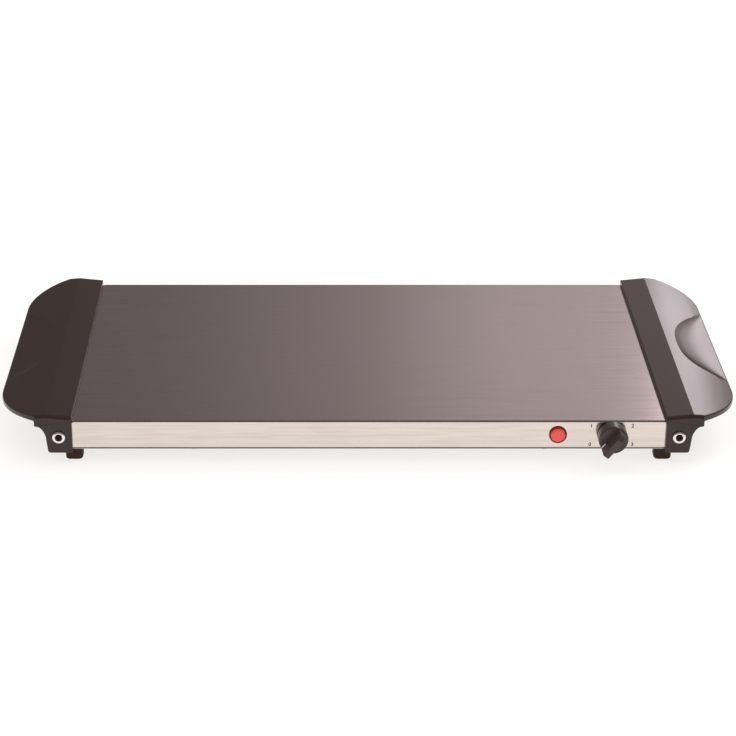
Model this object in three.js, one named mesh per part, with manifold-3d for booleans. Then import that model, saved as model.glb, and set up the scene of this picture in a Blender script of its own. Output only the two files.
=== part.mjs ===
// Buffet server: a low electric warming tray. A bent stainless top cover carries a heater below it,
// a moulded handle closes each end, and a knob on the front sets an adjustable thermostat.
// Millimetres. +X right, +Y back, +Z up. The origin is on the floor, below the centre of the
// whole tray. x, y and z name world places; "front" is the outer face of the front skirt.
import * as THREE from "three";
import { mergeVertices } from "three/addons/utils/BufferGeometryUtils.js";
import Module from "manifold-3d";

const wasm = await Module();
wasm.setup();

// Fits and shared clearances
const fitGap = 0.3;
const cutOverrun = 1;
const weldDistance = 0.0005;

// Top cover, bent from one stainless sheet
const plateWidth = 506;
const trayDepth = 318;
const skirtHeight = 25.4;
const coverSheet = 0.8;
const bendRadius = 1.5;
const returnFlange = 9;
const joggleDepth = 0.6;
const joggleInset = 1;
const coverUnderHandle = 16.5;
const bendSteps = 3;

// Base plate and its screws
const baseSheet = 0.8;
const baseSetback = 0.8;
const baseScrewEndInset = 103;
const baseScrewInset = 5.5;
const baseScrewRadius = 1.45;
const baseScrewHeadRadius = 2.9;
const baseScrewHeadHeight = 1.3;
const baseScrewLength = 7;

// Rubber feet and their screws
const footHeight = 13.1;
const footHalfWidth = 7.4;
const footCornerRadius = 4;
const footEdgeRadius = 1.8;
const footInset = 14.5;
const footWellDepth = 4.5;
const footScrewRadius = 1.8;
const footScrewHeadRadius = 3.3;
const footScrewHeadHeight = 2.4;
const footScrewReach = 2.5;

// Moulded end handles
const cheekProud = 3;
const lipRise = 0.7;
const lipRun = 4;
const lipCrest = 4.4;
// Rise of the rounded lip: shares of its run, each with a share of its height
const lipShares = [[0, 0], [0.01, 0.66], [0.07, 0.84], [0.22, 0.92], [1, 1]];
const creaseRun = 23;
const creaseRise = 6.3;
const wingRootRun = 32;
const wingReach = 66.4;
const crownFall = 5.8;
const crownSlopeShare = 0.3;
const cornerRadius = 80;
const cornerInset = 1.6;
const topRounding = 3;
const rimThickness = 5;
const rimTopRadius = 1.5;
const rimRoundShare = 0.3;
const rimLowRadius = 0.8;
const rootStep = 0.15;
const endWallRun = 21;
const handleWall = 2.8;
const bandWall = 2.6;
const cheekDrop = 28.8;
const cheekCornerRadius = 2.4;
const coveTopDrop = 3.9;
const coveWallRun = 22.2;
const coveFootDrop = 16.5;
const coveCorner = 2;
const coveFullnessShare = 0.45;
const coveSteps = 5;

// Finger scoop in each handle
const scoopHalfLength = 78;
const scoopReach = 35;
const scoopWallRun = 5;
const scoopShoulder = 1.2;
const scoopBowlPower = 2.2;
const scoopOutlinePower = 2.65;

// Cup washers and screws that hold the handles
const washerRun = 11.2;
const washerDrop = 13.6;
const washerRadius = 5.5;
const washerHeight = 1.9;
const washerFloor = 0.8;
const handleScrewRadius = 1.75;
const handleScrewHeadRadius = 2.75;
const handleScrewHeadHeight = 1.5;
const handleScrewReach = 4;
const crossWidth = 0.9;
const crossLength = 3.4;
const crossDepth = 0.9;

// End brackets, folded steel channels inside each end of the cover
const bracketSheet = 1.2;
const bracketEndInset = 1.2;
const bracketTopWidth = 12;
const bracketFootWidth = 30;
const bracketTabWidth = 14;

// Control knob
const knobEndInset = 45.6;
const knobRadius = 12.65;
const knobDrumDepth = 11.7;
const knobStandoff = 1;
const knobEdgeRadius = 1.8;
const knobRim = 1.85;
const knobRecess = 8;
const knobHubRadius = 4.8;
const knobBoreDepth = 9.4;
const gripHeight = 12;
const gripWidth = 5.7;
const gripPointerReach = 12.8;
const gripTailReach = 11.2;
const gripTailHeight = 3.5;
const gripEdge = 0.6;
const knobRestAngle = 38;
const knobSides = 40;

// Thermostat behind the knob
const spindleRadius = 3;
const spindleFlat = 2.2;
const spindleInner = 4;
const spindleHoleRadius = 4.2;
const frameSheet = 1.2;
const frameHeight = 14;
const frameLeft = 12;
const frameRight = 32;
const bushRadius = 5.2;
const bushLength = 4.5;
const frameScrewSpread = 8;
const frameScrewRadius = 1.4;
const frameScrewHeadRadius = 2.2;
const frameScrewHeadHeight = 1.4;
const frameScrewReach = 3;
const pinBodyRadius = 2.7;
const pinTipRadius = 1.4;
const pinTipLength = 2.4;
const stackRun = 24.5;
const stackRadius = 4;
const leafWidth = 5;
const leafSheet = 0.4;
const leafOverhang = 6;
const leafTail = 14;
const bimetalSheet = 0.8;
const bimetalWidth = 6;
const spacerLength = 2;
const contactGap = 1.1;
const contactRadius = 1.6;
const contactOverhang = 3.5;
const contactHeight = 0.9;
const rivetRadius = 1.5;
const rivetHeadRadius = 3;
const rivetHeadHeight = 1.5;

// Indicator lamp
const lampToKnob = 46.2;
const bezelRadius = 7.75;
const bezelHeight = 1.8;
const bezelTubeRadius = 6.7;
const bezelTubeWall = 0.8;
const bezelTubeLength = 8;
const lensRise = 3.4;
const lensTip = 2.2;
const lensWall = 1.2;
const lensDepth = 6.5;
const lensFacets = 12;
const clipRadius = 9.6;
const clipSheet = 0.6;
const bulbRadius = 2.6;
const bulbFront = 1.5;
const bulbLength = 12;
const bulbLeadRadius = 0.8;
const bulbLeadSpread = 1.4;

// Heater pressed against the underside of the cover
const heaterEndInset = 53;
const heaterInset = 32;
const micaSheet = 0.5;
const ribbonSheet = 0.3;
const ribbonWidth = 6;
const ribbonRuns = 12;
const ribbonMargin = 9;
const ribbonTailLength = 14;
const ribbonTailSpread = 12;
const matThickness = 6;
const pressureSheet = 0.8;
const studEndInset = 80;
const studRadius = 1.5;
const studBelowNut = 1.5;
const nutWidth = 5.5;
const nutHeight = 2.4;

// Thermal fuse under the pressure plate
const fuseEndInset = 50;
const fuseRunBack = 96;
const fuseRadius = 2;
const fuseLength = 12;
const fusePinRadius = 0.8;
const fusePinLength = 5;
const fuseClipSheet = 0.6;
const fuseClipWidth = 6;
const fuseClipFoot = 5;

// Mains inlet bush and terminal block at the back
const bushEndInset = 31;
const cordBushFlangeRadius = 9;
const cordBushFlange = 4.7;
const cordBushNeckRadius = 6.2;
const cordBushBoreRadius = 3.6;
const cordBushLockRadius = 7.4;
const cordBushLock = 4;
const blockWidth = 30;
const blockDepth = 15;
const blockHeight = 9;
const blockRunIn = 42;
const blockPoles = 3;
const blockWellRadius = 2.6;
const blockWellDepth = 3;

// Internal leads
const leadRadius = 1.2;
const leadSides = 6;
const leadSteps = 16;
const leadStraight = 3.2;
const leadFloorGap = 3;
const leadSlack = 8;
const tagSheet = 0.8;
const tagRadius = 3.6;
const tagLength = 8;
const tagWidth = 4;

// Places that follow from the sizes above
const baseTop = footHeight + fitGap + baseSheet;
const skirtBottom = baseTop + fitGap;
const plateTop = skirtBottom + skirtHeight;
const rearReach = cordBushFlange + fitGap;
const knobReach = knobStandoff + knobDrumDepth + gripHeight;
const front = (knobReach - rearReach) / 2 - trayDepth / 2;
const rear = front + trayDepth;
const plateEnd = plateWidth / 2;
const footCentreX = plateEnd;
const baseScrewX = plateEnd - baseScrewEndInset;
const knobX = plateEnd - knobEndInset;
const lampX = knobX - lampToKnob;
const bushX = plateEnd - bushEndInset;
const heaterEnd = plateEnd - heaterEndInset;
const studSpreadX = heaterEnd - studEndInset;
const fuseX = heaterEnd - fuseEndInset;
const coverEnd = plateEnd + coverUnderHandle;
const panelMiddle = plateTop - skirtHeight / 2;
const joggledTop = plateTop - joggleDepth;

const finishes = {
  stainless: finish("#b5aeab", 0.28, 0.9),
  galvanised: finish("#9b9c9c", 0.5, 0.85),
  moulding: finish("#4a4443", 0.45, 0),
  knobPlastic: finish("#37312f", 0.3, 0),
  rubber: finish("#1f1d1c", 0.85, 0),
  chrome: finish("#d9d6d2", 0.12, 1),
  blackSteel: finish("#1c1b1b", 0.4, 0.7),
  redLens: finish("#c8201c", 0.15, 0),
  bezelPlastic: finish("#4a1a16", 0.3, 0),
  glass: finish("#f3d9c0", 0.05, 0),
  mica: finish("#b39a6b", 0.5, 0),
  resistance: finish("#8d8478", 0.4, 0.9),
  fibre: finish("#efece4", 1, 0),
  ceramic: finish("#eae6da", 0.45, 0),
  brass: finish("#c3a354", 0.35, 1),
  whiteLead: finish("#e6e2d8", 0.6, 0),
  greenLead: finish("#5f8f3a", 0.6, 0),
};

// A standard material from a colour, a roughness and a metalness.
function finish(color, roughness, metalness) {
  return new THREE.MeshStandardMaterial({ color, roughness, metalness });
}

// A closed geometry as a solid that can be cut and joined, with its faces turned outwards.
function toSolid(geometry) {
  const bare = geometry.clone();
  bare.deleteAttribute("normal");
  bare.deleteAttribute("uv");
  const merged = mergeVertices(bare, weldDistance);
  const vertProperties = merged.getAttribute("position").array;
  const faces = [];
  for (let i = 0; i < merged.index.count; i += 3) {
    const [a, b, c] = merged.index.array.subarray(i, i + 3);
    if (a !== b && b !== c && c !== a) faces.push(a, b, c);
  }
  const build = (list) => {
    const triVerts = new Uint32Array(list);
    return new wasm.Manifold(new wasm.Mesh({ numProp: 3, vertProperties, triVerts }));
  };
  const solid = build(faces);
  return solid.volume() < 0 ? build(faces.reverse()) : solid;
}

// A solid as a flat-shaded geometry.
function toGeometry(solid) {
  const { numProp, vertProperties, triVerts } = solid.getMesh();
  const positions = new Float32Array(triVerts.length * 3);
  triVerts.forEach((vertex, i) => {
    const start = vertex * numProp;
    positions.set(vertProperties.subarray(start, start + 3), i * 3);
  });
  const geometry = new THREE.BufferGeometry();
  geometry.setAttribute("position", new THREE.BufferAttribute(positions, 3));
  geometry.computeVertexNormals();
  return geometry;
}

// The one node of a finished solid.
function node(name, solid, material) {
  const mesh = new THREE.Mesh(toGeometry(solid), material);
  mesh.name = name;
  return mesh;
}

const joined = (...solids) => solids.reduce((whole, solid) => whole.add(solid));
const cut = (solid, ...tools) => tools.reduce((rest, tool) => rest.subtract(tool), solid);

// A box between two corners.
function box([x0, x1], [y0, y1], [z0, z1]) {
  const geometry = new THREE.BoxGeometry(x1 - x0, y1 - y0, z1 - z0);
  return toSolid(geometry.translate((x0 + x1) / 2, (y0 + y1) / 2, (z0 + z1) / 2));
}

// A round bar along one axis between two places, through the point across it.
function rod(axis, radius, [from, to], across, sides = 12) {
  const geometry = new THREE.CylinderGeometry(radius, radius, to - from, sides);
  geometry.translate(0, (from + to) / 2, 0);
  if (axis === "x") geometry.rotateZ(-Math.PI / 2).translate(0, across[0], across[1]);
  if (axis === "y") geometry.translate(across[0], 0, across[1]);
  if (axis === "z") geometry.rotateX(Math.PI / 2).translate(across[0], across[1], 0);
  return toSolid(geometry);
}

// A profile of [radius, place along] points turned about one axis through the point across it.
function turned(axis, profile, across = [0, 0], sides = 20) {
  const points = profile.map(([radius, along]) => new THREE.Vector2(radius, along));
  const geometry = new THREE.LatheGeometry(points, sides);
  if (axis === "y") geometry.translate(across[0], 0, across[1]);
  if (axis === "z") geometry.rotateX(Math.PI / 2).translate(across[0], across[1], 0);
  return toSolid(geometry);
}

// A ring profile that closes on itself, turned about an axis.
function ring(axis, profile, across, sides) {
  return turned(axis, [...profile, profile[0]], across, sides);
}

function extruded(outline, length) {
  const shape = new THREE.Shape(outline.map(([u, v]) => new THREE.Vector2(u, v)));
  return new THREE.ExtrudeGeometry(shape, { depth: length, bevelEnabled: false });
}

// An outline of [y, z] points drawn out along X.
function alongX(outline, [from, to]) {
  const turn = new THREE.Matrix4().set(0, 0, 1, from, 1, 0, 0, 0, 0, 1, 0, 0, 0, 0, 0, 1);
  return toSolid(extruded(outline, to - from).applyMatrix4(turn));
}

// An outline of [x, z] points drawn out along Y.
function alongY(outline, [from, to]) {
  return toSolid(extruded(outline, to - from).rotateX(Math.PI / 2).translate(0, to, 0));
}

// Points on an arc, in degrees, both ends included.
function arc([u, v], radius, fromAngle, toAngle, steps) {
  return Array.from({ length: steps + 1 }, (_, i) => {
    const angle = THREE.MathUtils.degToRad(fromAngle + ((toAngle - fromAngle) * i) / steps);
    return [u + radius * Math.cos(angle), v + radius * Math.sin(angle)];
  });
}

// A solid through a row of closed sections of [x, z] points, each at its own y.
function lofted(sections) {
  const places = [];
  const corner = ({ y, outline }, i) => {
    const [x, z] = outline[i % outline.length];
    return [x, y, z];
  };
  sections.slice(1).forEach((next, s) => {
    const here = sections[s];
    here.outline.forEach((_, i) => {
      const [a, b] = [corner(here, i), corner(here, i + 1)];
      const [c, d] = [corner(next, i), corner(next, i + 1)];
      places.push(a, b, c, b, d, c);
    });
  });
  const last = sections.length - 1;
  [[sections[0], true], [sections[last], false]].forEach(([section, isFirst]) => {
    const flat = section.outline.map(([x, z]) => new THREE.Vector2(x, z));
    THREE.ShapeUtils.triangulateShape(flat, []).forEach((face) => {
      const clockwise = THREE.ShapeUtils.area(flat) < 0;
      const order = isFirst === clockwise ? face : [...face].reverse();
      places.push(...order.map((i) => corner(section, i)));
    });
  });
  const geometry = new THREE.BufferGeometry();
  geometry.setAttribute("position", new THREE.Float32BufferAttribute(places.flat(), 3));
  return toSolid(geometry);
}

// Bent sheet section of the cover at one top level: top, two skirts and two return flanges.
function coverSection(top) {
  const inner = bendRadius - coverSheet;
  const [low, high] = [skirtBottom + bendRadius, top - bendRadius];
  const [near, far] = [front + bendRadius, rear - bendRadius];
  const outside = [
    ...arc([near, low], bendRadius, 270, 180, bendSteps),
    ...arc([near, high], bendRadius, 180, 90, bendSteps),
    ...arc([far, high], bendRadius, 90, 0, bendSteps),
    ...arc([far, low], bendRadius, 0, -90, bendSteps),
  ];
  const inside = [
    ...arc([far, low], inner, -90, 0, bendSteps),
    ...arc([far, high], inner, 0, 90, bendSteps),
    ...arc([near, high], inner, 90, 180, bendSteps),
    ...arc([near, low], inner, 180, 270, bendSteps),
  ];
  const flangeTop = skirtBottom + coverSheet;
  const rearLip = [[rear - returnFlange, skirtBottom], [rear - returnFlange, flangeTop]];
  const frontLip = [[front + returnFlange, flangeTop], [front + returnFlange, skirtBottom]];
  return [...outside, ...rearLip, ...inside, ...frontLip];
}

const handleScrewX = plateEnd + washerRun;
const handleScrewZ = plateTop - washerDrop;
const studYs = [front + trayDepth / 4, rear - trayDepth / 4];
const studPlaces = studYs.flatMap((y) => [[-studSpreadX, y], [studSpreadX, y]]);
const baseScrewYs = [front + baseScrewInset, rear - baseScrewInset];
const baseScrewPlaces = baseScrewYs.flatMap((y) => [[-baseScrewX, y], [baseScrewX, y]]);
const footYs = [front + footInset, rear - footInset];
const footPlaces = footYs.flatMap((y) => [[-footCentreX, y], [footCentreX, y]]);

// Levels of the heater layers, from the cover down
const upperMicaTop = plateTop - coverSheet - fitGap;
const ribbonTop = upperMicaTop - micaSheet - fitGap;
const lowerMicaTop = ribbonTop - ribbonSheet - fitGap;
const matTop = lowerMicaTop - micaSheet - fitGap;
const pressureTop = matTop - matThickness - fitGap;
const pressureBottom = pressureTop - pressureSheet;
const nutTop = pressureBottom - fitGap;
const studBottom = nutTop - nutHeight - studBelowNut;

function topCover() {
  const step = plateEnd - joggleInset;
  const frontHole = (radius, x, z, sides) =>
    rod("y", radius, [front - cutOverrun, front + bendRadius + cutOverrun], [x, z], sides);
  const rearHole = (radius, x, z, sides) =>
    rod("y", radius, [rear - bendRadius - cutOverrun, rear + cutOverrun], [x, z], sides);
  const screwHole = handleScrewRadius + fitGap;
  const flangeHole = ([x, y]) =>
    rod("z", baseScrewRadius + fitGap, [skirtBottom - cutOverrun, skirtBottom + bendRadius], [x, y]);
  const stud = (place) => rod("z", studRadius, [studBottom, plateTop - coverSheet / 2], place);
  const sheet = joined(
    alongX(coverSection(plateTop), [-step, step]),
    alongX(coverSection(joggledTop), [step - coverSheet, coverEnd]),
    alongX(coverSection(joggledTop), [-coverEnd, coverSheet - step]),
    ...studPlaces.map(stud),
  );
  return cut(
    sheet,
    frontHole(bezelTubeRadius + fitGap, lampX, panelMiddle, 24),
    frontHole(spindleHoleRadius, knobX, panelMiddle, 20),
    frontHole(frameScrewRadius + fitGap, knobX - frameScrewSpread, panelMiddle),
    frontHole(frameScrewRadius + fitGap, knobX + frameScrewSpread, panelMiddle),
    frontHole(screwHole, handleScrewX, handleScrewZ),
    frontHole(screwHole, -handleScrewX, handleScrewZ),
    rearHole(screwHole, handleScrewX, handleScrewZ),
    rearHole(screwHole, -handleScrewX, handleScrewZ),
    rearHole(cordBushNeckRadius + fitGap, bushX, panelMiddle, 24),
    ...baseScrewPlaces.map(flangeHole),
  );
}

function basePlate() {
  const across = [-coverEnd + baseSetback, coverEnd - baseSetback];
  const sheet = box(across, [front + baseSetback, rear - baseSetback], [baseTop - baseSheet, baseTop]);
  const hole = (radius) => (place) =>
    rod("z", radius + fitGap, [baseTop - baseSheet - cutOverrun, baseTop + cutOverrun], place);
  return cut(
    sheet,
    ...footPlaces.map(hole(footScrewRadius)),
    ...baseScrewPlaces.map(hole(baseScrewRadius)),
  );
}

// A folded channel with a web at the end of the cover, and a tab behind each skirt.
function endBracket() {
  const out = coverEnd - bracketEndInset;
  const low = skirtBottom + coverSheet + fitGap;
  const high = joggledTop - coverSheet - fitGap;
  const [near, far] = [front + coverSheet + fitGap, rear - coverSheet - fitGap];
  const tabX = [out - bracketTabWidth, out];
  const channel = joined(
    box([out - bracketSheet, out], [near, far], [low, high]),
    box([out - bracketFootWidth, out], [near, far], [low, low + bracketSheet]),
    box([out - bracketTopWidth, out], [near, far], [high - bracketSheet, high]),
    box(tabX, [near, near + bracketSheet], [low, high]),
    box(tabX, [far - bracketSheet, far], [low, high]),
  );
  const reach = [front - cutOverrun, rear + cutOverrun];
  const footHole = (y) =>
    rod("z", footScrewRadius + fitGap, [low - cutOverrun, low + bracketSheet + cutOverrun], [footCentreX, y]);
  return cut(
    channel,
    rod("y", handleScrewRadius + fitGap, reach, [handleScrewX, handleScrewZ]),
    ...footYs.map(footHole),
  );
}

// Handle sizes as places across the tray, and heights about the top of the plate
const creaseX = plateEnd + creaseRun;
const wingRootX = plateEnd + wingRootRun;
const wingEdgeX = plateEnd + wingReach;
const endWallX = plateEnd + endWallRun;
const coveWallX = plateEnd + coveWallRun;
const handleLength = trayDepth + 2 * cheekProud;
const wingOverhang = wingReach - wingRootRun;
const cornerRun = Math.sqrt(cornerRadius ** 2 - (cornerRadius - wingOverhang) ** 2);
const cornerLength = cornerInset + cornerRun;

// Edge of the wing, seen from above, at a distance from the nearer end of the handle.
function wingEdge(fromEnd) {
  const run = Math.max(cornerLength - fromEnd, 0);
  const bow = cornerRadius - Math.sqrt(cornerRadius ** 2 - run ** 2);
  return Math.max(wingEdgeX - bow, wingRootX);
}

// Height of the plain convex wing, which falls from the crease to the outer edge.
function crown(x) {
  const share = (x - creaseX) / (wingEdgeX - creaseX);
  const slopes = crownSlopeShare * share + (1 - crownSlopeShare) * share ** 2;
  return creaseRise - crownFall * slopes;
}

// Inner edge of the finger scoop, from its own outline, at a distance from the handle's middle.
function scoopEdge(fromMiddle) {
  const share = Math.min(Math.abs(fromMiddle) / scoopHalfLength, 1);
  return wingEdgeX - scoopReach * (1 - share ** scoopOutlinePower);
}

// Height of the wing's top with the scoop pressed into it: a bowl that is steep at its inner
// edge and runs out level at the rim.
function wingTop(x, fromMiddle) {
  const plain = crown(x);
  const inner = scoopEdge(fromMiddle);
  if (x <= inner) return plain;
  const rimHeight = creaseRise - crownFall;
  const left = Math.max((wingEdgeX - x) / (wingEdgeX - inner), 0);
  return Math.min(plain, rimHeight + (crown(inner) - rimHeight) * left ** scoopBowlPower);
}

// Closed section of the handle across the tray, at a distance along the handle.
function handleSection(along) {
  const fromEnd = Math.min(along, handleLength - along);
  const fromMiddle = along - handleLength / 2;
  const edge = wingEdge(fromEnd);
  const dip = Math.max(topRounding - fromEnd, 0);
  const lowered = topRounding - Math.sqrt(topRounding ** 2 - dip ** 2);
  const rimStart = edge - rimTopRadius;
  const outermost = rimStart - scoopWallRun - scoopShoulder;
  const scoop = Math.max(Math.min(scoopEdge(fromMiddle), outermost), creaseX + scoopShoulder);
  const approachShares = [0.4, 0.8];
  const wallShares = [0, 0.33, 0.67, 1];
  const wingXs = [
    ...approachShares.map((share) => creaseX + share * (scoop - creaseX)),
    ...wallShares.map((share) => scoop + share * scoopWallRun),
    (scoop + scoopWallRun + rimStart) / 2,
    rimStart,
  ];
  const lip = lipShares.map(([runShare, riseShare]) => {
    return [plateEnd + runShare * lipRun, lipRise + riseShare * (lipCrest - lipRise)];
  });
  const top = (x) => wingTop(x, fromMiddle) - lowered;
  const rimTop = top(rimStart);
  const rimLow = rimTop - rimThickness;
  const overhang = edge - wingRootX;
  const lowFillet = rimLowRadius * Math.min(overhang / cornerLength + overhang / rimThickness, 1);
  const rootLow = topRounding + rootStep - coveTopDrop - lowered;
  const underShares = [0.33, 0.67, 1];
  const underside = underShares.map((share) => {
    const x = wingRootX + (edge - lowFillet - wingRootX) * (1 - share);
    return [x, rimLow + (rootLow - rimLow) * share];
  });
  const coveTop = new THREE.Vector2(wingRootX - coveCorner, -coveTopDrop - coveCorner / 4);
  const coveTurn = new THREE.Vector2(coveWallX, -coveTopDrop);
  const coveFoot = new THREE.Vector2(coveWallX, -coveFootDrop);
  const cove = new THREE.CubicBezierCurve(
    coveTop,
    coveTop.clone().lerp(coveTurn, coveFullnessShare),
    coveFoot.clone().lerp(coveTurn, coveFullnessShare),
    coveFoot,
  );
  const heelX = endWallX - cheekCornerRadius;
  return [
    ...lip.map(([x, z]) => [x, z - lowered]),
    [creaseX, creaseRise - lowered],
    ...wingXs.map((x) => [x, top(x)]),
    [edge - rimTopRadius * rimRoundShare, rimTop - rimTopRadius * rimRoundShare],
    [edge, rimTop - rimTopRadius],
    [edge, rimLow + rimLowRadius],
    [edge - lowFillet, rimLow],
    ...underside,
    [wingRootX, -coveTopDrop],
    ...cove.getPoints(coveSteps).map(({ x, y }) => [x, y]),
    ...arc([heelX, cheekCornerRadius - cheekDrop], cheekCornerRadius, 0, -90, 2),
    [plateEnd, -cheekDrop],
  ];
}

// Distances along the handle at which its section is drawn: close together in the corners
// and across the scoop.
function handleStations() {
  const cornerShares = [0, 0.06, 0.16, 0.3, 0.5, 0.74, 1];
  const roundingShares = [0, 0.14, 0.42];
  const scoopShares = [1, 0.86, 0.7, 0.53, 0.35, 0.17];
  const middle = handleLength / 2;
  const half = [
    ...roundingShares.map((share) => share * topRounding),
    ...cornerShares.map((share) => cornerInset + share * cornerRun),
    ...scoopShares.map((share) => middle - share * scoopHalfLength),
  ];
  return [...half, middle, ...half.map((along) => handleLength - along).reverse()];
}

// Hollow of the handle: open towards the tray and downwards, between the two cheeks.
function handleHollow() {
  const inX = endWallX - handleWall;
  const rootX = wingRootX - handleWall;
  const under = fitGap - joggleDepth;
  const cove = new THREE.QuadraticBezierCurve(
    new THREE.Vector2(rootX, handleWall - coveTopDrop),
    new THREE.Vector2(inX, handleWall - coveTopDrop),
    new THREE.Vector2(inX, -coveFootDrop),
  );
  const outline = [
    [plateEnd - cutOverrun, under],
    [plateEnd + lipRun / 4, under],
    [plateEnd + lipRun, lipCrest - bandWall],
    [creaseX, creaseRise - bandWall],
    [rootX, crown(rootX) - bandWall],
    ...cove.getPoints(coveSteps).map(({ x, y }) => [x, y]),
    [inX, -cheekDrop - cutOverrun],
    [plateEnd - cutOverrun, -cheekDrop - cutOverrun],
  ];
  return alongY(outline, [cheekProud - fitGap, handleLength - cheekProud + fitGap]);
}

// One handle, with y measured from the outer face of its front cheek.
function handle() {
  const sections = handleStations().map((y) => ({ y, outline: handleSection(y) }));
  const reach = [-cutOverrun, handleLength + cutOverrun];
  const screwHoles = rod("y", handleScrewRadius + fitGap, reach, [handleScrewX, -washerDrop]);
  return cut(lofted(sections), handleHollow(), screwHoles);
}

// Cup washer, with its seat at y = 0 and its cup opening towards -Y.
function cupWasher() {
  const well = handleScrewHeadRadius + fitGap;
  const profile = [
    [handleScrewRadius + fitGap, 0],
    [washerRadius, 0],
    [washerRadius - washerFloor / 4, -washerFloor],
    [washerRadius - washerFloor * 1.6, -washerHeight],
    [well + washerFloor / 2, -washerHeight],
    [well, -washerHeight + washerFloor / 2],
    [well, -washerFloor],
    [handleScrewRadius + fitGap, -washerFloor],
  ];
  return ring("y", profile, [0, 0], 16);
}

// Pan-head screw with a cross recess, its head towards -Y and the head's seat at y = 0.
function crossScrew(headRadius, headHeight, shankRadius, length) {
  const head = turned(
    "y",
    [[0, 0], [headRadius, 0], [headRadius, -headHeight / 2], [headRadius * 0.72, -headHeight], [0, -headHeight]],
    [0, 0],
    14,
  );
  const depth = [-headHeight - cutOverrun, crossDepth - headHeight];
  const [long, wide] = [[-crossLength / 2, crossLength / 2], [-crossWidth / 2, crossWidth / 2]];
  const shank = rod("y", shankRadius, [-headHeight / 2, length], [0, 0], 10);
  return cut(joined(head, shank), box(long, depth, wide), box(wide, depth, long));
}

// Pan-head screw with its head down, seat at z = 0 and shank upwards.
function upwardScrew(headRadius, headHeight, shankRadius, length) {
  const profile = [
    [0, -headHeight],
    [headRadius * 0.8, -headHeight],
    [headRadius, -headHeight * 0.5],
    [headRadius, 0],
    [shankRadius, 0],
    [shankRadius, length],
    [0, length],
  ];
  return turned("z", profile, [0, 0], 12);
}

// Outline of the foot from below, drawn in evenly by an inset.
function footOutline(inset) {
  const middle = footHalfWidth - footCornerRadius;
  const radius = footCornerRadius - inset;
  return [
    ...arc([middle, middle], radius, 0, 90, 3),
    ...arc([-middle, middle], radius, 90, 180, 3),
    ...arc([-middle, -middle], radius, 180, 270, 3),
    ...arc([middle, -middle], radius, 270, 360, 3),
  ];
}

// Square rubber foot with rounded corners and a well for its screw, standing on z = 0.
function foot() {
  const edge = arc([-footEdgeRadius, footEdgeRadius], footEdgeRadius, -90, 0, 2);
  const levels = [...edge, [0, footHeight]];
  const block = lofted(levels.map(([inset, z]) => ({ y: -z, outline: footOutline(-inset) })));
  const standing = block.rotate([-90, 0, 0]);
  const well = rod("z", footScrewHeadRadius + fitGap, [-cutOverrun, footWellDepth], [0, 0], 16);
  const bore = rod("z", footScrewRadius + fitGap, [0, footHeight + cutOverrun], [0, 0], 16);
  return cut(standing, well, bore);
}

// Control knob on its own axis, with y = 0 at the panel face: a round drum with a grip bar
// across it. The bar points along -Z before the knob is turned to its rest angle.
function controlKnob() {
  const back = -knobStandoff;
  const face = back - knobDrumDepth;
  const edge = arc([knobRadius - knobEdgeRadius, face + knobEdgeRadius], knobEdgeRadius, -90, 0, 3);
  const floor = back - knobRecess;
  const profile = [
    [0, face],
    ...edge,
    [knobRadius, back],
    [knobRadius - knobRim, back],
    [knobRadius - knobRim, floor],
    [knobHubRadius, floor],
    [knobHubRadius, back],
    [0, back],
  ];
  const drum = turned("y", profile, [0, 0], knobSides);
  const tip = face - gripHeight;
  const bar = new THREE.Shape();
  bar.moveTo(-gripPointerReach + gripEdge, face + knobEdgeRadius);
  bar.lineTo(-gripPointerReach + gripEdge, tip + gripEdge * 2);
  bar.lineTo(-gripPointerReach + gripEdge * 2, tip + gripEdge);
  bar.lineTo(gripHeight / 4, tip + gripEdge);
  bar.quadraticCurveTo(gripTailReach - gripEdge, tip + gripEdge, gripTailReach - gripEdge, face - gripTailHeight);
  bar.lineTo(gripTailReach - gripEdge, face + knobEdgeRadius);
  const bevel = { bevelEnabled: true, bevelSegments: 1, bevelSize: gripEdge, bevelThickness: gripEdge };
  const grip = new THREE.ExtrudeGeometry(bar, { depth: gripWidth - 2 * gripEdge, curveSegments: 5, ...bevel });
  grip.translate(0, 0, gripEdge - gripWidth / 2).rotateY(-Math.PI / 2);
  const keep = rod("y", gripPointerReach + gripEdge, [tip - cutOverrun, face + knobEdgeRadius], [0, 0], knobSides);
  return cut(joined(drum, toSolid(grip).intersect(keep)), flattedRod(fitGap, [back - knobBoreDepth, back + cutOverrun]));
}

// The D-shaped end of the spindle, grown all round by a clearance, along Y about the knob axis.
function flattedRod(clearance, reach) {
  const radius = spindleRadius + clearance;
  const flat = spindleFlat + clearance;
  const waste = box([-2 * radius, 2 * radius], [reach[0] - cutOverrun, reach[1] + cutOverrun], [flat, 2 * radius]);
  return cut(rod("y", radius, reach, [0, 0], 20), waste);
}

function thermostatSpindle() {
  const tip = fitGap - knobStandoff - knobBoreDepth;
  return joined(
    flattedRod(0, [tip, fitGap - knobStandoff]),
    rod("y", spindleRadius, [fitGap - knobStandoff, spindleInner], [0, 0], 20),
  );
}

// Places along Y of the thermostat's pieces, from the panel face inwards
const frameFront = coverSheet + fitGap;
const frameBack = frameFront + frameSheet;
const bushEnd = frameBack + bushLength;
const pinStart = spindleInner + fitGap;
const pinEnd = bushEnd + pinTipLength;
const leafFront = pinEnd + fitGap;
const leafBack = leafFront + leafSheet;
const bimetalFront = leafBack + 2 * contactHeight + contactGap;
const bimetalBack = bimetalFront + bimetalSheet;
const lastSpacerEnd = bimetalBack + fitGap + spacerLength;

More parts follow.
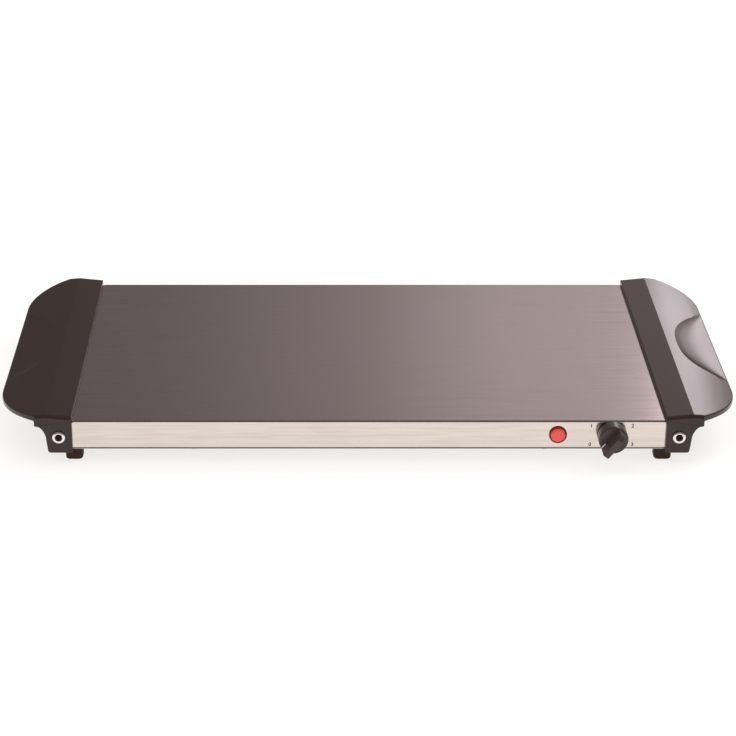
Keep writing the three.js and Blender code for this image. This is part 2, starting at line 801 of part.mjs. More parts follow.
function thermostatFrame() {
  const tall = [-frameHeight / 2, frameHeight / 2];
  const plate = box([-frameLeft, frameRight], [frameFront, frameBack], tall);
  const bush = rod("y", bushRadius, [frameFront, bushEnd], [0, 0], 20);
  const through = [frameFront - cutOverrun, bushEnd + cutOverrun];
  return cut(
    joined(plate, bush),
    rod("y", spindleRadius + fitGap, through, [0, 0], 20),
    rod("y", frameScrewRadius + fitGap, through, [frameScrewSpread, 0]),
    rod("y", frameScrewRadius + fitGap, through, [-frameScrewSpread, 0]),
    rod("y", rivetRadius + fitGap, through, [stackRun, 0]),
  );
}

function pushPin() {
  return joined(
    rod("y", pinBodyRadius, [pinStart, bushEnd - fitGap], [0, 0], 14),
    rod("y", pinTipRadius, [bushEnd - 2 * fitGap, pinEnd], [0, 0], 14),
  );
}

// A strip held in the stack, with a contact near its free end and a terminal tail.
function leaf(faces, width, contact) {
  const tall = [-width / 2, width / 2];
  const strip = box([-leafOverhang, stackRun + leafTail], faces, tall);
  const button = rod("y", contactRadius, contact, [-contactOverhang, 0], 14);
  const hole = rod("y", rivetRadius + fitGap, [faces[0] - cutOverrun, faces[1] + cutOverrun], [stackRun, 0]);
  return cut(joined(strip, button), hole);
}

function adjustingLeaf() {
  return leaf([leafFront, leafBack], leafWidth, [leafFront + leafSheet / 2, leafBack + contactHeight]);
}

function bimetalStrip() {
  return leaf([bimetalFront, bimetalBack], bimetalWidth, [bimetalFront - contactHeight, bimetalBack - leafSheet]);
}

function stackSpacer([from, to]) {
  const bore = rivetRadius + fitGap;
  return ring("y", [[bore, from], [stackRadius, from], [stackRadius, to], [bore, to]], [stackRun, 0], 16);
}

function stackRivet() {
  const headStart = lastSpacerEnd + fitGap;
  return joined(
    rod("y", rivetRadius, [frameFront, headStart + rivetHeadHeight / 2], [stackRun, 0]),
    rod("y", rivetHeadRadius, [headStart, headStart + rivetHeadHeight], [stackRun, 0], 16),
  );
}

// Lamp pieces on the lamp's own axis, with y = 0 at the panel face
function indicatorBezel() {
  const lens = bezelTubeRadius - bezelTubeWall;
  const profile = [
    [lens, bezelTubeLength],
    [lens, -fitGap - bezelHeight * 0.8],
    [lens + bezelTubeWall / 2, -fitGap - bezelHeight],
    [bezelRadius - bezelTubeWall, -fitGap - bezelHeight],
    [bezelRadius, -fitGap - bezelHeight * 0.45],
    [bezelRadius, -fitGap],
    [bezelTubeRadius, -fitGap],
    [bezelTubeRadius, bezelTubeLength],
  ];
  return ring("y", profile, [0, 0], 24);
}

// Red cap with flat facets round a small flat tip, hollow behind.
function indicatorLens() {
  const radius = bezelTubeRadius - bezelTubeWall - fitGap;
  const profile = [
    [0, -lensRise],
    [lensTip, -lensRise],
    [radius, -bezelHeight * 0.7],
    [radius, lensDepth],
    [radius - lensWall, lensDepth],
    [radius - lensWall, lensWall - bezelHeight * 0.7],
    [lensTip, lensWall - lensRise],
    [0, lensWall - lensRise],
  ];
  return turned("y", profile, [0, 0], lensFacets);
}

function lampClip() {
  const from = coverSheet + fitGap;
  const bore = bezelTubeRadius + fitGap;
  const profile = [[bore, from], [clipRadius, from], [clipRadius, from + clipSheet], [bore, from + clipSheet]];
  return ring("y", profile, [0, 0], 16);
}

// Neon bulb in its lens, with its two leads to the tails of the heater ribbon.
function neonBulb() {
  const end = front + bulbFront + bulbLength;
  const round = arc([0, front + bulbFront + bulbRadius], bulbRadius, -90, 0, 3);
  const glass = turned("y", [...round, [bulbRadius, end], [0, end]], [lampX, panelMiddle], 12);
  const bulbLead = (spread, tail) => {
    const start = [lampX + spread, end - bulbRadius / 2, panelMiddle];
    const tip = ribbonTailTip(tail, bulbLeadRadius - ribbonWidth / 4);
    const out = [start[0] + spread, end + leadStraight, panelMiddle];
    const rise = between(out, tip, 0.55);
    const before = [tip[0], tip[1] - leadStraight, tip[2]];
    return lead([start, out, [rise[0], out[1] + bulbRadius, rise[2]], before, tip], bulbLeadRadius);
  };
  return joined(glass, bulbLead(-bulbLeadSpread, 0), bulbLead(bulbLeadSpread, 1));
}

const heaterFront = front + heaterInset;
const heaterRear = rear - heaterInset;

// A flat heater layer with a clearance hole round each stud.
function heaterLayer(top, thickness) {
  const level = [top - thickness, top];
  const sheet = box([-heaterEnd, heaterEnd], [heaterFront, heaterRear], level);
  const past = [level[0] - cutOverrun, level[1] + cutOverrun];
  return cut(sheet, ...studPlaces.map((place) => rod("z", studRadius + fitGap, past, place, 10)));
}

// Resistance ribbon: straight runs joined at alternate ends, with a tail from each end
// towards the front.
const ribbonPitch = (heaterRear - heaterFront - 2 * ribbonMargin - ribbonWidth) / (ribbonRuns - 1);
const ribbonEndX = heaterEnd - ribbonMargin;
const ribbonTails = [ribbonEndX - ribbonWidth - ribbonTailSpread, ribbonEndX];
const ribbonTailY = heaterFront + ribbonMargin - ribbonTailLength;

function heaterRibbon() {
  const level = [ribbonTop - ribbonSheet, ribbonTop];
  const returnX = ribbonEndX - ribbonWidth;
  const innerX = returnX - ribbonTailSpread;
  const runY = (i) => heaterFront + ribbonMargin + i * ribbonPitch;
  const last = ribbonRuns - 1;
  const run = (_, i) => {
    const right = i === last ? ribbonEndX : innerX;
    return box([-ribbonEndX, right], [runY(i), runY(i) + ribbonWidth], level);
  };
  const link = (_, i) => {
    const side = i % 2 ? [innerX - ribbonWidth, innerX] : [-ribbonEndX, ribbonWidth - ribbonEndX];
    return box(side, [runY(i), runY(i + 1) + ribbonWidth], level);
  };
  const back = box([returnX, ribbonEndX], [ribbonTailY, runY(last) + ribbonWidth], level);
  const tail = box([innerX - ribbonWidth, innerX], [ribbonTailY, runY(0) + ribbonWidth], level);
  const runs = Array.from({ length: ribbonRuns }, run);
  const links = Array.from({ length: last }, link);
  return joined(...runs, ...links, back, tail);
}

// Hexagonal nut on a stud of the cover.
function nut() {
  const corner = nutWidth / Math.sqrt(3);
  const level = [nutTop - nutHeight, nutTop];
  return cut(
    rod("z", corner, level, [0, 0], 6),
    rod("z", studRadius + fitGap, [level[0] - cutOverrun, level[1] + cutOverrun], [0, 0], 10),
  );
}

const fuseY = front + fuseRunBack;
const fuseZ = pressureBottom - fitGap - fuseRadius;

function thermalFuse() {
  const half = fuseLength / 2;
  return joined(
    rod("x", fuseRadius, [fuseX - half, fuseX + half], [fuseY, fuseZ], 14),
    rod("x", fusePinRadius, [fuseX - half - fusePinLength, fuseX + half + fusePinLength], [fuseY, fuseZ], leadSides),
  );
}

// Saddle strap that holds the fuse up to the pressure plate.
function fuseClip() {
  const inner = fuseRadius + fitGap;
  const outer = inner + fuseClipSheet;
  const top = pressureBottom - fitGap;
  const outline = [
    [fuseY - outer - fuseClipFoot, top],
    [fuseY - outer - fuseClipFoot, top - fuseClipSheet],
    [fuseY - outer, top - fuseClipSheet],
    ...arc([fuseY, fuseZ], outer, 180, 360, 6),
    [fuseY + outer, top - fuseClipSheet],
    [fuseY + outer + fuseClipFoot, top - fuseClipSheet],
    [fuseY + outer + fuseClipFoot, top],
    [fuseY + inner, top],
    ...arc([fuseY, fuseZ], inner, 360, 180, 6),
    [fuseY - inner, top],
  ];
  return alongX(outline, [fuseX - fuseClipWidth / 2, fuseX + fuseClipWidth / 2]);
}

// Bush in the back skirt, with a flange on each side of the sheet.
function cordBush() {
  const inside = -coverSheet - fitGap;
  const profile = [
    [cordBushBoreRadius, fitGap + cordBushFlange],
    [cordBushFlangeRadius - cordBushFlange / 3, fitGap + cordBushFlange],
    [cordBushFlangeRadius, fitGap + cordBushFlange / 2],
    [cordBushFlangeRadius, fitGap],
    [cordBushNeckRadius, fitGap],
    [cordBushNeckRadius, inside],
    [cordBushLockRadius, inside],
    [cordBushNeckRadius, inside - cordBushLock],
    [cordBushBoreRadius, inside - cordBushLock],
  ];
  return ring("y", profile, [0, 0], 20);
}

const blockY = rear - blockRunIn;
const blockBottom = baseTop + fitGap;
const poleX = (i) => bushX + ((i + 0.5) / blockPoles - 0.5) * blockWidth;

function terminalBlock() {
  const halfWidth = blockWidth / 2;
  const level = [blockBottom, blockBottom + blockHeight];
  const body = box([bushX - halfWidth, bushX + halfWidth], [blockY, blockY + blockDepth], level);
  const wells = Array.from({ length: blockPoles }, (_, i) =>
    rod("z", blockWellRadius, [level[1] - blockWellDepth, level[1] + cutOverrun], [poleX(i), blockY + blockDepth / 2], 14),
  );
  return cut(body, ...wells);
}

// A point at a share of the way from one place to another.
function between(start, end, share) {
  return start.map((value, i) => value + (end[i] - value) * share);
}

// An insulated lead along a smooth line through its points.
function lead(points, radius = leadRadius) {
  const path = new THREE.CatmullRomCurve3(points.map((point) => new THREE.Vector3(...point)));
  const corners = arc([0, 0], radius, 0, 360, leadSides).slice(1);
  const section = new THREE.Shape(corners.map(([u, v]) => new THREE.Vector2(u, v)));
  return toSolid(new THREE.ExtrudeGeometry(section, { steps: leadSteps, extrudePath: path }));
}

// Where a lead meets the tip of one ribbon tail, at a distance across from the tail's middle.
function ribbonTailTip(tail, across) {
  const x = ribbonTails[tail] - ribbonWidth / 2 + across;
  return [x, ribbonTailY - fitGap, ribbonTop - ribbonSheet / 2 - fitGap];
}

// Where a lead meets the end of a thermostat leaf, from the side.
function leafEnd(faces) {
  return [knobX + stackRun + leafTail + fitGap, front + (faces[0] + faces[1]) / 2, panelMiddle];
}

// Where a lead meets the front of one pole of the terminal block.
function blockEnd(pole) {
  return [poleX(pole), blockY - fitGap, blockBottom + blockHeight / 2];
}

const leadLevel = baseTop + leadFloorGap + leadRadius;

// Lead from the terminal block forwards, along the right end, to the adjusting leaf.
function liveLead() {
  const start = blockEnd(2);
  const end = leafEnd([leafFront, leafBack]);
  const sideX = end[0] + leadSlack;
  return lead([
    start,
    [start[0], start[1] - leadSlack, start[2]],
    [(start[0] + sideX) / 2, start[1] - (start[1] - end[1]) * 0.4, leadLevel],
    [sideX - leadStraight, end[1] + (start[1] - end[1]) * 0.25, leadLevel + leadFloorGap],
    [sideX, end[1] + leadSlack, leadLevel + leadFloorGap],
    [end[0] + 1.6 * leadStraight, end[1], (leadLevel + end[2]) / 2],
    [end[0] + leadStraight, end[1], end[2]],
    end,
  ]);
}

// Lead from the bimetal strip to the right tail of the heater ribbon.
function loadLead() {
  const start = leafEnd([bimetalFront, bimetalBack]);
  const end = ribbonTailTip(1, ribbonWidth / 4);
  const high = end[2] - leadRadius;
  return lead([
    start,
    [start[0] + leadStraight, start[1], start[2]],
    [start[0] + leadStraight * 1.5, start[1] + leadSlack / 2, (start[2] + high) / 2],
    [start[0] - leadSlack, start[1] + leadSlack * 1.4, high],
    [(start[0] + end[0]) / 2, start[1] + leadSlack, high],
    [end[0] + leadStraight, end[1] - 2 * leadStraight, high],
    [end[0], end[1] - leadStraight, end[2]],
    end,
  ]);
}

// Lead from the left tail of the heater ribbon, below the pressure plate, to the fuse.
function heaterLead() {
  const start = ribbonTailTip(0, ribbonWidth / 4);
  const end = [fuseX + fuseLength / 2 + fusePinLength + fitGap, fuseY, fuseZ];
  return lead([
    start,
    [start[0], start[1] - leadStraight, start[2]],
    [start[0] + leadStraight, start[1] - leadStraight * 1.5, start[2] - leadStraight * 2],
    [start[0] + leadStraight * 1.5, start[1] + leadStraight, leadLevel + leadFloorGap],
    [start[0] + leadStraight, (start[1] + end[1]) / 2, leadLevel + leadFloorGap],
    [end[0] + leadSlack, end[1] - leadSlack, (end[2] + leadLevel + leadFloorGap) / 2],
    [end[0] + leadStraight, end[1], end[2]],
    end,
  ]);
}

// Lead from the fuse back to the terminal block.
function neutralLead() {
  const start = [fuseX - fuseLength / 2 - fusePinLength - fitGap, fuseY, fuseZ];
  const end = blockEnd(1);
  return lead([
    start,
    [start[0] - leadStraight, start[1], start[2]],
    [start[0] - leadStraight, start[1] + leadSlack, leadLevel],
    [start[0] + leadSlack, (start[1] + end[1]) / 2, leadLevel],
    [start[0] + (end[0] - start[0]) * 0.7, end[1] - 5 * leadSlack, leadLevel],
    [end[0], end[1] - leadSlack, end[2]],
    end,
  ]);
}

const tagTop = nutTop;
const earthStud = [studSpreadX, studYs[1]];

// Earth lead from the terminal block to a ring tag round the right rear stud.
function earthLead() {
  const start = blockEnd(0);
  const [x, y] = earthStud;
  const level = [tagTop - tagSheet, tagTop];
  const past = [level[0] - cutOverrun, level[1] + cutOverrun];
  const eye = joined(
    rod("z", tagRadius, level, earthStud, 14),
    box([x, x + tagLength], [y - tagWidth / 2, y + tagWidth / 2], level),
  );
  const crimp = [x + tagRadius + leadRadius, y, tagTop - tagSheet - leadRadius / 2];
  const wire = lead([
    start,
    [start[0], start[1] - leadSlack, start[2]],
    [(start[0] * 3 + crimp[0]) / 4, y + leadSlack * 1.5, leadLevel + leadFloorGap],
    [(start[0] + crimp[0] * 3) / 4, y, leadLevel + leadFloorGap],
    [crimp[0] + leadStraight, y, crimp[2]],
    crimp,
  ]);
  return cut(joined(eye, wire), rod("z", studRadius + fitGap, past, earthStud, 10));
}

const root = new THREE.Group();

// Adds one node to a group, at a place and, if given, turned.
function add(group, name, solid, material, place = [0, 0, 0], turn = [0, 0, 0]) {
  const mesh = node(name, solid, material);
  mesh.position.set(...place);
  mesh.rotation.set(...turn);
  group.add(mesh);
  return mesh;
}

// Shell of the tray
const shell = new THREE.Group();
add(shell, "top_cover", topCover(), finishes.stainless);
add(shell, "base_plate", basePlate(), finishes.galvanised);
add(shell, "right_end_bracket", endBracket(), finishes.galvanised);
add(shell, "left_end_bracket", endBracket(), finishes.galvanised).scale.x = -1;
const handlePlace = [0, front - cheekProud, plateTop];
add(shell, "right_handle", handle(), finishes.moulding, handlePlace);
add(shell, "left_handle", handle(), finishes.moulding, handlePlace).scale.x = -1;
root.add(shell);

// Screws, washers and feet
const fasteners = new THREE.Group();
const screwLength = cheekProud + coverSheet + fitGap + bracketSheet + washerFloor + handleScrewReach;
const handleScrew = crossScrew(handleScrewHeadRadius, handleScrewHeadHeight, handleScrewRadius, screwLength);
const sides = { left: -1, right: 1 };
const ends = {
  front: { y: front - cheekProud - fitGap, out: -1, turn: 0 },
  rear: { y: rear + cheekProud + fitGap, out: 1, turn: Math.PI },
};
Object.entries(ends).forEach(([endName, { y, out, turn }]) => {
  Object.entries(sides).forEach(([sideName, sign]) => {
    const place = [sign * handleScrewX, y, handleScrewZ];
    const headSeat = [place[0], y + out * (washerFloor + fitGap), place[2]];
    const name = `${endName}_${sideName}_handle`;
    add(fasteners, `${name}_washer`, cupWasher(), finishes.chrome, place, [0, 0, turn]);
    add(fasteners, `${name}_screw`, handleScrew, finishes.blackSteel, headSeat, [0, 0, turn]);
  });
});
const cornerNames = ["front_left", "front_right", "rear_left", "rear_right"];
const footScrewSeat = footWellDepth - fitGap;
const footScrewTop = skirtBottom + coverSheet + fitGap + bracketSheet + footScrewReach;
const footScrew = upwardScrew(footScrewHeadRadius, footScrewHeadHeight, footScrewRadius, footScrewTop - footScrewSeat);
const baseScrew = upwardScrew(baseScrewHeadRadius, baseScrewHeadHeight, baseScrewRadius, baseScrewLength);
cornerNames.forEach((corner, i) => {
  const [footX, footY] = footPlaces[i];
  const [screwX, screwY] = baseScrewPlaces[i];
  add(fasteners, `${corner}_foot`, foot(), finishes.rubber, [footX, footY, 0]);
  add(fasteners, `${corner}_foot_screw`, footScrew, finishes.blackSteel, [footX, footY, footScrewSeat]);
  add(fasteners, `${corner}_base_screw`, baseScrew, finishes.galvanised, [screwX, screwY, footHeight]);
});
root.add(fasteners);

// Knob and thermostat, about the knob's axis on the panel face
const control = new THREE.Group();
control.position.set(knobX, front, panelMiddle);
const restTurn = [0, THREE.MathUtils.degToRad(knobRestAngle), 0];
add(control, "control_knob", controlKnob(), finishes.knobPlastic, [0, 0, 0], restTurn);
add(control, "thermostat_spindle", thermostatSpindle(), finishes.brass, [0, 0, 0], restTurn);
add(control, "thermostat_frame", thermostatFrame(), finishes.galvanised);
add(control, "push_pin", pushPin(), finishes.ceramic);
add(control, "adjusting_leaf", adjustingLeaf(), finishes.brass);
add(control, "bimetal_strip", bimetalStrip(), finishes.resistance);
add(control, "front_stack_spacer", stackSpacer([frameBack + fitGap, leafFront - fitGap]), finishes.ceramic);
add(control, "middle_stack_spacer", stackSpacer([leafBack + fitGap, bimetalFront - fitGap]), finishes.ceramic);
add(control, "rear_stack_spacer", stackSpacer([bimetalBack + fitGap, lastSpacerEnd]), finishes.ceramic);
add(control, "stack_rivet", stackRivet(), finishes.brass);
const frameScrewLength = frameBack + fitGap + frameScrewReach;
const frameScrew = crossScrew(frameScrewHeadRadius, frameScrewHeadHeight, frameScrewRadius, frameScrewLength);
add(control, "left_thermostat_screw", frameScrew, finishes.galvanised, [-frameScrewSpread, -fitGap, 0]);
add(control, "right_thermostat_screw", frameScrew, finishes.galvanised, [frameScrewSpread, -fitGap, 0]);
root.add(control);

// Indicator lamp, about its axis on the panel face
const lamp = new THREE.Group();
lamp.position.set(lampX, front, panelMiddle);
add(lamp, "indicator_bezel", indicatorBezel(), finishes.bezelPlastic);
add(lamp, "indicator_lens", indicatorLens(), finishes.redLens);
add(lamp, "lamp_clip", lampClip(), finishes.galvanised);
root.add(lamp);

// Heater under the cover
const heater = new THREE.Group();
add(heater, "upper_mica", heaterLayer(upperMicaTop, micaSheet), finishes.mica);
add(heater, "heater_ribbon", heaterRibbon(), finishes.resistance);
add(heater, "lower_mica", heaterLayer(lowerMicaTop, micaSheet), finishes.mica);
add(heater, "insulation_mat", heaterLayer(matTop, matThickness), finishes.fibre);
add(heater, "pressure_plate", heaterLayer(pressureTop, pressureSheet), finishes.galvanised);
cornerNames.forEach((corner, i) => {
  const [x, y] = studPlaces[i];
  const onTag = x === earthStud[0] && y === earthStud[1];
  const drop = onTag ? tagSheet + fitGap : 0;
  add(heater, `${corner}_stud_nut`, nut(), finishes.galvanised, [x, y, -drop]);
});
add(heater, "thermal_fuse", thermalFuse(), finishes.ceramic);
add(heater, "fuse_clip", fuseClip(), finishes.galvanised);
root.add(heater);

// Mains inlet and leads
const wiring = new THREE.Group();
add(wiring, "cord_bush", cordBush(), finishes.rubber, [bushX, rear, panelMiddle]);
add(wiring, "terminal_block", terminalBlock(), finishes.ceramic);
add(wiring, "neon_bulb", neonBulb(), finishes.glass);
add(wiring, "live_lead", liveLead(), finishes.whiteLead);
add(wiring, "load_lead", loadLead(), finishes.whiteLead);
add(wiring, "heater_lead", heaterLead(), finishes.whiteLead);
add(wiring, "neutral_lead", neutralLead(), finishes.whiteLead);
add(wiring, "earth_lead", earthLead(), finishes.greenLead);
root.add(wiring);

export default root;
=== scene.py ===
"""Looks of a buffet warming tray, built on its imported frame.

Sizes are in millimetres in the tray's own frame: +X right, +Y back, +Z up, with the origin on the
floor below the centre of the tray. Every mesh is turned to metres when it is made.
"""

import logging
import math
from dataclasses import dataclass, field
from enum import Enum
from typing import Any, Iterable, Sequence

import bmesh
import bpy
from mathutils import Matrix, Vector

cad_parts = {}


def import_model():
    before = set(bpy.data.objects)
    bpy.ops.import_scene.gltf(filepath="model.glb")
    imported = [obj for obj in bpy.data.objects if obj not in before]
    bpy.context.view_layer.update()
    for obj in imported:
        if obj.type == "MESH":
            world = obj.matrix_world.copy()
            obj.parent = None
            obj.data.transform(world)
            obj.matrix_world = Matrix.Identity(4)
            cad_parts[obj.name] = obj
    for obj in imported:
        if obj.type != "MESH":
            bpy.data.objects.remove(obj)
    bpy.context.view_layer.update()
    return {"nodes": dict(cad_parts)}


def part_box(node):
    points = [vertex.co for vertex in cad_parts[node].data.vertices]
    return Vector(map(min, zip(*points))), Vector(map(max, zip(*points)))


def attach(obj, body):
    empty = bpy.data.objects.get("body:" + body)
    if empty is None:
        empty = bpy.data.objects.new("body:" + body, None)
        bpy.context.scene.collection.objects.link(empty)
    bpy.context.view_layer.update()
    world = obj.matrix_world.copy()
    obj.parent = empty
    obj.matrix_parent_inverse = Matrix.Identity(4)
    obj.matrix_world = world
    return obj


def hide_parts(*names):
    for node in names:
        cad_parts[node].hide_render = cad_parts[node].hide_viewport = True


MM = 0.001
BODY = "tray"
log = logging.getLogger("warming_tray")

Point2 = tuple[float, float]
Point3 = tuple[float, float, float]
Shares = tuple[float, ...]

# How far brushing and rolling draw a pattern out along X, in pattern widths.
BRUSH_DRAW = 20
ROLL_DRAW = 6
# Fine noise that most grains are drawn with. Brushing adds wider noise, at this share of the whole,
# and stretches this range of the sum to the full contrast.
FINE_NOISE = {"Scale": 1.0, "Detail": 4.0, "Roughness": 0.6}
WIDE_NOISE = {"Scale": 0.5, "Detail": 2.0, "Roughness": 0.5}
WIDE_NOISE_SHARE = 0.55
STREAK_RANGE = (0.36, 0.64)
# How uneven woven threads are.
THREAD_WAVE = 1.5
# Lowest roughness that a finish may reach.
SMOOTHEST = 0.02
# Points closer than these are one point, in millimetres: in a drawn mesh, and in a folded sheet.
MESH_WELD = 0.0005
SHEET_WELD = 0.001
# A length or a radius below this counts as none.
NO_LENGTH = 1e-6
# Angles in degrees from which an edge stays sharp: on plain metal pieces, on mouldings and pieces
# that are cut, on pressed and printed ones, and between a lens's facets.
METAL_CREASE = 35.0
MOULDED_CREASE = 40.0
SOFT_CREASE = 60.0
FACET_CREASE = 12.0


def linear(hex_color: str) -> tuple[float, float, float, float]:
    """Turn an sRGB hex colour to the linear colour that shaders use.

    Args:
        hex_color: six hex digits after a hash sign.

    Returns:
        Red, green and blue as linear values, with an alpha of 1.
    """
    digits = hex_color.lstrip("#")
    shares = [int(digits[i : i + 2], 16) / 255 for i in (0, 2, 4)]
    straight = [c / 12.92 if c <= 0.04045 else ((c + 0.055) / 1.055) ** 2.4 for c in shares]
    return (straight[0], straight[1], straight[2], 1.0)


def add_node(
    tree: bpy.types.NodeTree,
    kind: str,
    settings: dict[str, Any] | None = None,
    sockets: dict[str | int, Any] | None = None,
) -> bpy.types.Node:
    """Add one node to a tree, with its settings, its socket values and its incoming links.

    Args:
        tree: the node tree that gets the node.
        kind: the node's type name.
        settings: attributes of the node, such as its operation.
        sockets: input names or numbers, each with a value or with the output socket to link.

    Returns:
        The new node.
    """
    node = tree.nodes.new(kind)
    for name, value in (settings or {}).items():
        setattr(node, name, value)
    for name, value in (sockets or {}).items():
        if isinstance(value, bpy.types.NodeSocket):
            tree.links.new(value, node.inputs[name])
        else:
            node.inputs[name].default_value = value
    return node


def reckon(tree: bpy.types.NodeTree, operation: str, first: Any, second: Any) -> bpy.types.NodeSocket:
    """Add a math node on two values or sockets and give its result."""
    return add_node(tree, "ShaderNodeMath", {"operation": operation}, {0: first, 1: second}).outputs[0]


def blank_material(name: str) -> bpy.types.Material:
    """Make a material whose node tree is empty.

    Args:
        name: the material's name.

    Returns:
        The material.
    """
    material = bpy.data.materials.new(name)
    material.use_nodes = True
    material.node_tree.nodes.clear()
    return material


class Grain(Enum):
    """How a surface was made, which sets its fine pattern."""

    BRUSHED = "brushed along the length"
    PLATED = "zinc plated"
    MOULDED = "moulded with a fine texture"
    POLISHED = "polished"
    FIRED = "fired ceramic"
    WOVEN = "woven sleeve"
    FIBROUS = "soft fibre"
    FLAKED = "pressed mica flakes"
    OXIDISED = "heat-tinted strip"


@dataclass(frozen=True)
class Finish:
    """One real surface finish, and the shader that shows it."""

    name: str
    color: str
    grain: Grain
    roughness: float
    metallic: float = 0.0
    ior: float = 1.5
    spread: float = 0.08
    pitch: float = 1.0
    depth: float = 0.02
    coat: float = 0.0
    transmission: float = 0.0
    # Emission strength: only the lens has it, as a painted glow.
    glow: float = 0.0
    sheen: float = 0.0
    anisotropy: float = 0.0
    specular: float = 0.5
    coat_roughness: float = 0.08
    roughness_swing: float = 0.06
    relief: float = 0.35
    cloud_scale: float = 14.0
    cloud_share: float = 0.35

    def stretch(self) -> Point3:
        """Find how often the pattern repeats, from its real pitch.

        Returns:
            Repeats per metre along X, Y and Z.
        """
        per_metre = 1 / (self.pitch * MM)
        if self.grain is Grain.BRUSHED:
            return (per_metre / BRUSH_DRAW, per_metre, per_metre)
        if self.grain is Grain.OXIDISED:
            return (per_metre / ROLL_DRAW, per_metre, per_metre)
        return (per_metre, per_metre, per_metre)

    def build(self) -> bpy.types.Material:
        """Make the material.

        Returns:
            A node material whose colour, roughness and relief follow the grain.
        """
        material = blank_material(self.name)
        tree = material.node_tree
        place = add_node(tree, "ShaderNodeTexCoord").outputs["Object"]
        mapped = add_node(tree, "ShaderNodeMapping", sockets={"Vector": place, "Scale": self.stretch()})
        pattern = self.pattern(tree, mapped.outputs["Vector"])
        cloud = add_node(
            tree, "ShaderNodeTexNoise", sockets={"Vector": place, "Scale": self.cloud_scale, "Detail": 3.0}
        )
        tone = add_node(
            tree,
            "ShaderNodeMix",
            {"data_type": "FLOAT"},
            {0: self.cloud_share, 2: pattern, 3: cloud.outputs["Fac"]},
        ).outputs[0]
        base = linear(self.color)
        dark = [c * (1 - self.spread) for c in base[:3]]
        light = [min(c * (1 + self.spread), 1.0) for c in base[:3]]
        color = add_node(
            tree, "ShaderNodeMix", {"data_type": "RGBA"}, {0: tone, 6: (*dark, 1.0), 7: (*light, 1.0)}
        )
        rough = add_node(
            tree,
            "ShaderNodeMapRange",
            sockets={
                "Value": tone,
                "To Min": max(self.roughness - self.roughness_swing, SMOOTHEST),
                "To Max": self.roughness + self.roughness_swing,
            },
        )
        relief = add_node(
            tree,
            "ShaderNodeBump",
            sockets={"Strength": self.relief, "Distance": self.depth * MM, "Height": pattern},
        )
        shader = add_node(
            tree,
            "ShaderNodeBsdfPrincipled",
            sockets={
                "Base Color": color.outputs[2],
                "Roughness": rough.outputs[0],
                "Normal": relief.outputs["Normal"],
                "Metallic": self.metallic,
                "IOR": self.ior,
                "Coat Weight": self.coat,
                "Coat Roughness": self.coat_roughness,
                "Transmission Weight": self.transmission,
                "Sheen Weight": self.sheen,
                "Emission Color": base,
                "Emission Strength": self.glow,
                "Anisotropic": self.anisotropy,
                "Specular IOR Level": self.specular,
            },
        )
        if self.anisotropy:
            across = add_node(tree, "ShaderNodeTangent", {"direction_type": "UV_MAP", "uv_map": "grain"})
            tree.links.new(across.outputs[0], shader.inputs["Tangent"])
        add_node(tree, "ShaderNodeOutputMaterial", sockets={"Surface": shader.outputs[0]})
        return material

    def pattern(self, tree: bpy.types.NodeTree, place: bpy.types.NodeSocket) -> bpy.types.NodeSocket:
        """Add the nodes of the fine pattern.

        Args:
            tree: the material's node tree.
            place: the scaled place on the piece.

        Returns:
            The socket that gives the pattern as a value from 0 to 1.
        """
        if self.grain in (Grain.FLAKED, Grain.PLATED, Grain.FIBROUS):
            cells = add_node(tree, "ShaderNodeTexVoronoi", sockets={"Vector": place, "Scale": 1.0})
            return cells.outputs["Distance"]
        if self.grain is Grain.WOVEN:
            threads = add_node(
                tree,
                "ShaderNodeTexWave",
                {"bands_direction": "DIAGONAL"},
                {"Vector": place, "Scale": 1.0, "Distortion": THREAD_WAVE},
            )
            return threads.outputs["Fac"]
        fine = add_node(tree, "ShaderNodeTexNoise", sockets={"Vector": place, **FINE_NOISE}).outputs["Fac"]
        if self.grain is not Grain.BRUSHED:
            return fine
        wide = add_node(tree, "ShaderNodeTexNoise", sockets={"Vector": place, **WIDE_NOISE}).outputs["Fac"]
        sockets = {0: WIDE_NOISE_SHARE, 2: fine, 3: wide}
        both = add_node(tree, "ShaderNodeMix", {"data_type": "FLOAT"}, sockets)
        low, high = STREAK_RANGE
        sockets = {"Value": both.outputs[0], "From Min": low, "From Max": high}
        return add_node(tree, "ShaderNodeMapRange", sockets=sockets).outputs[0]


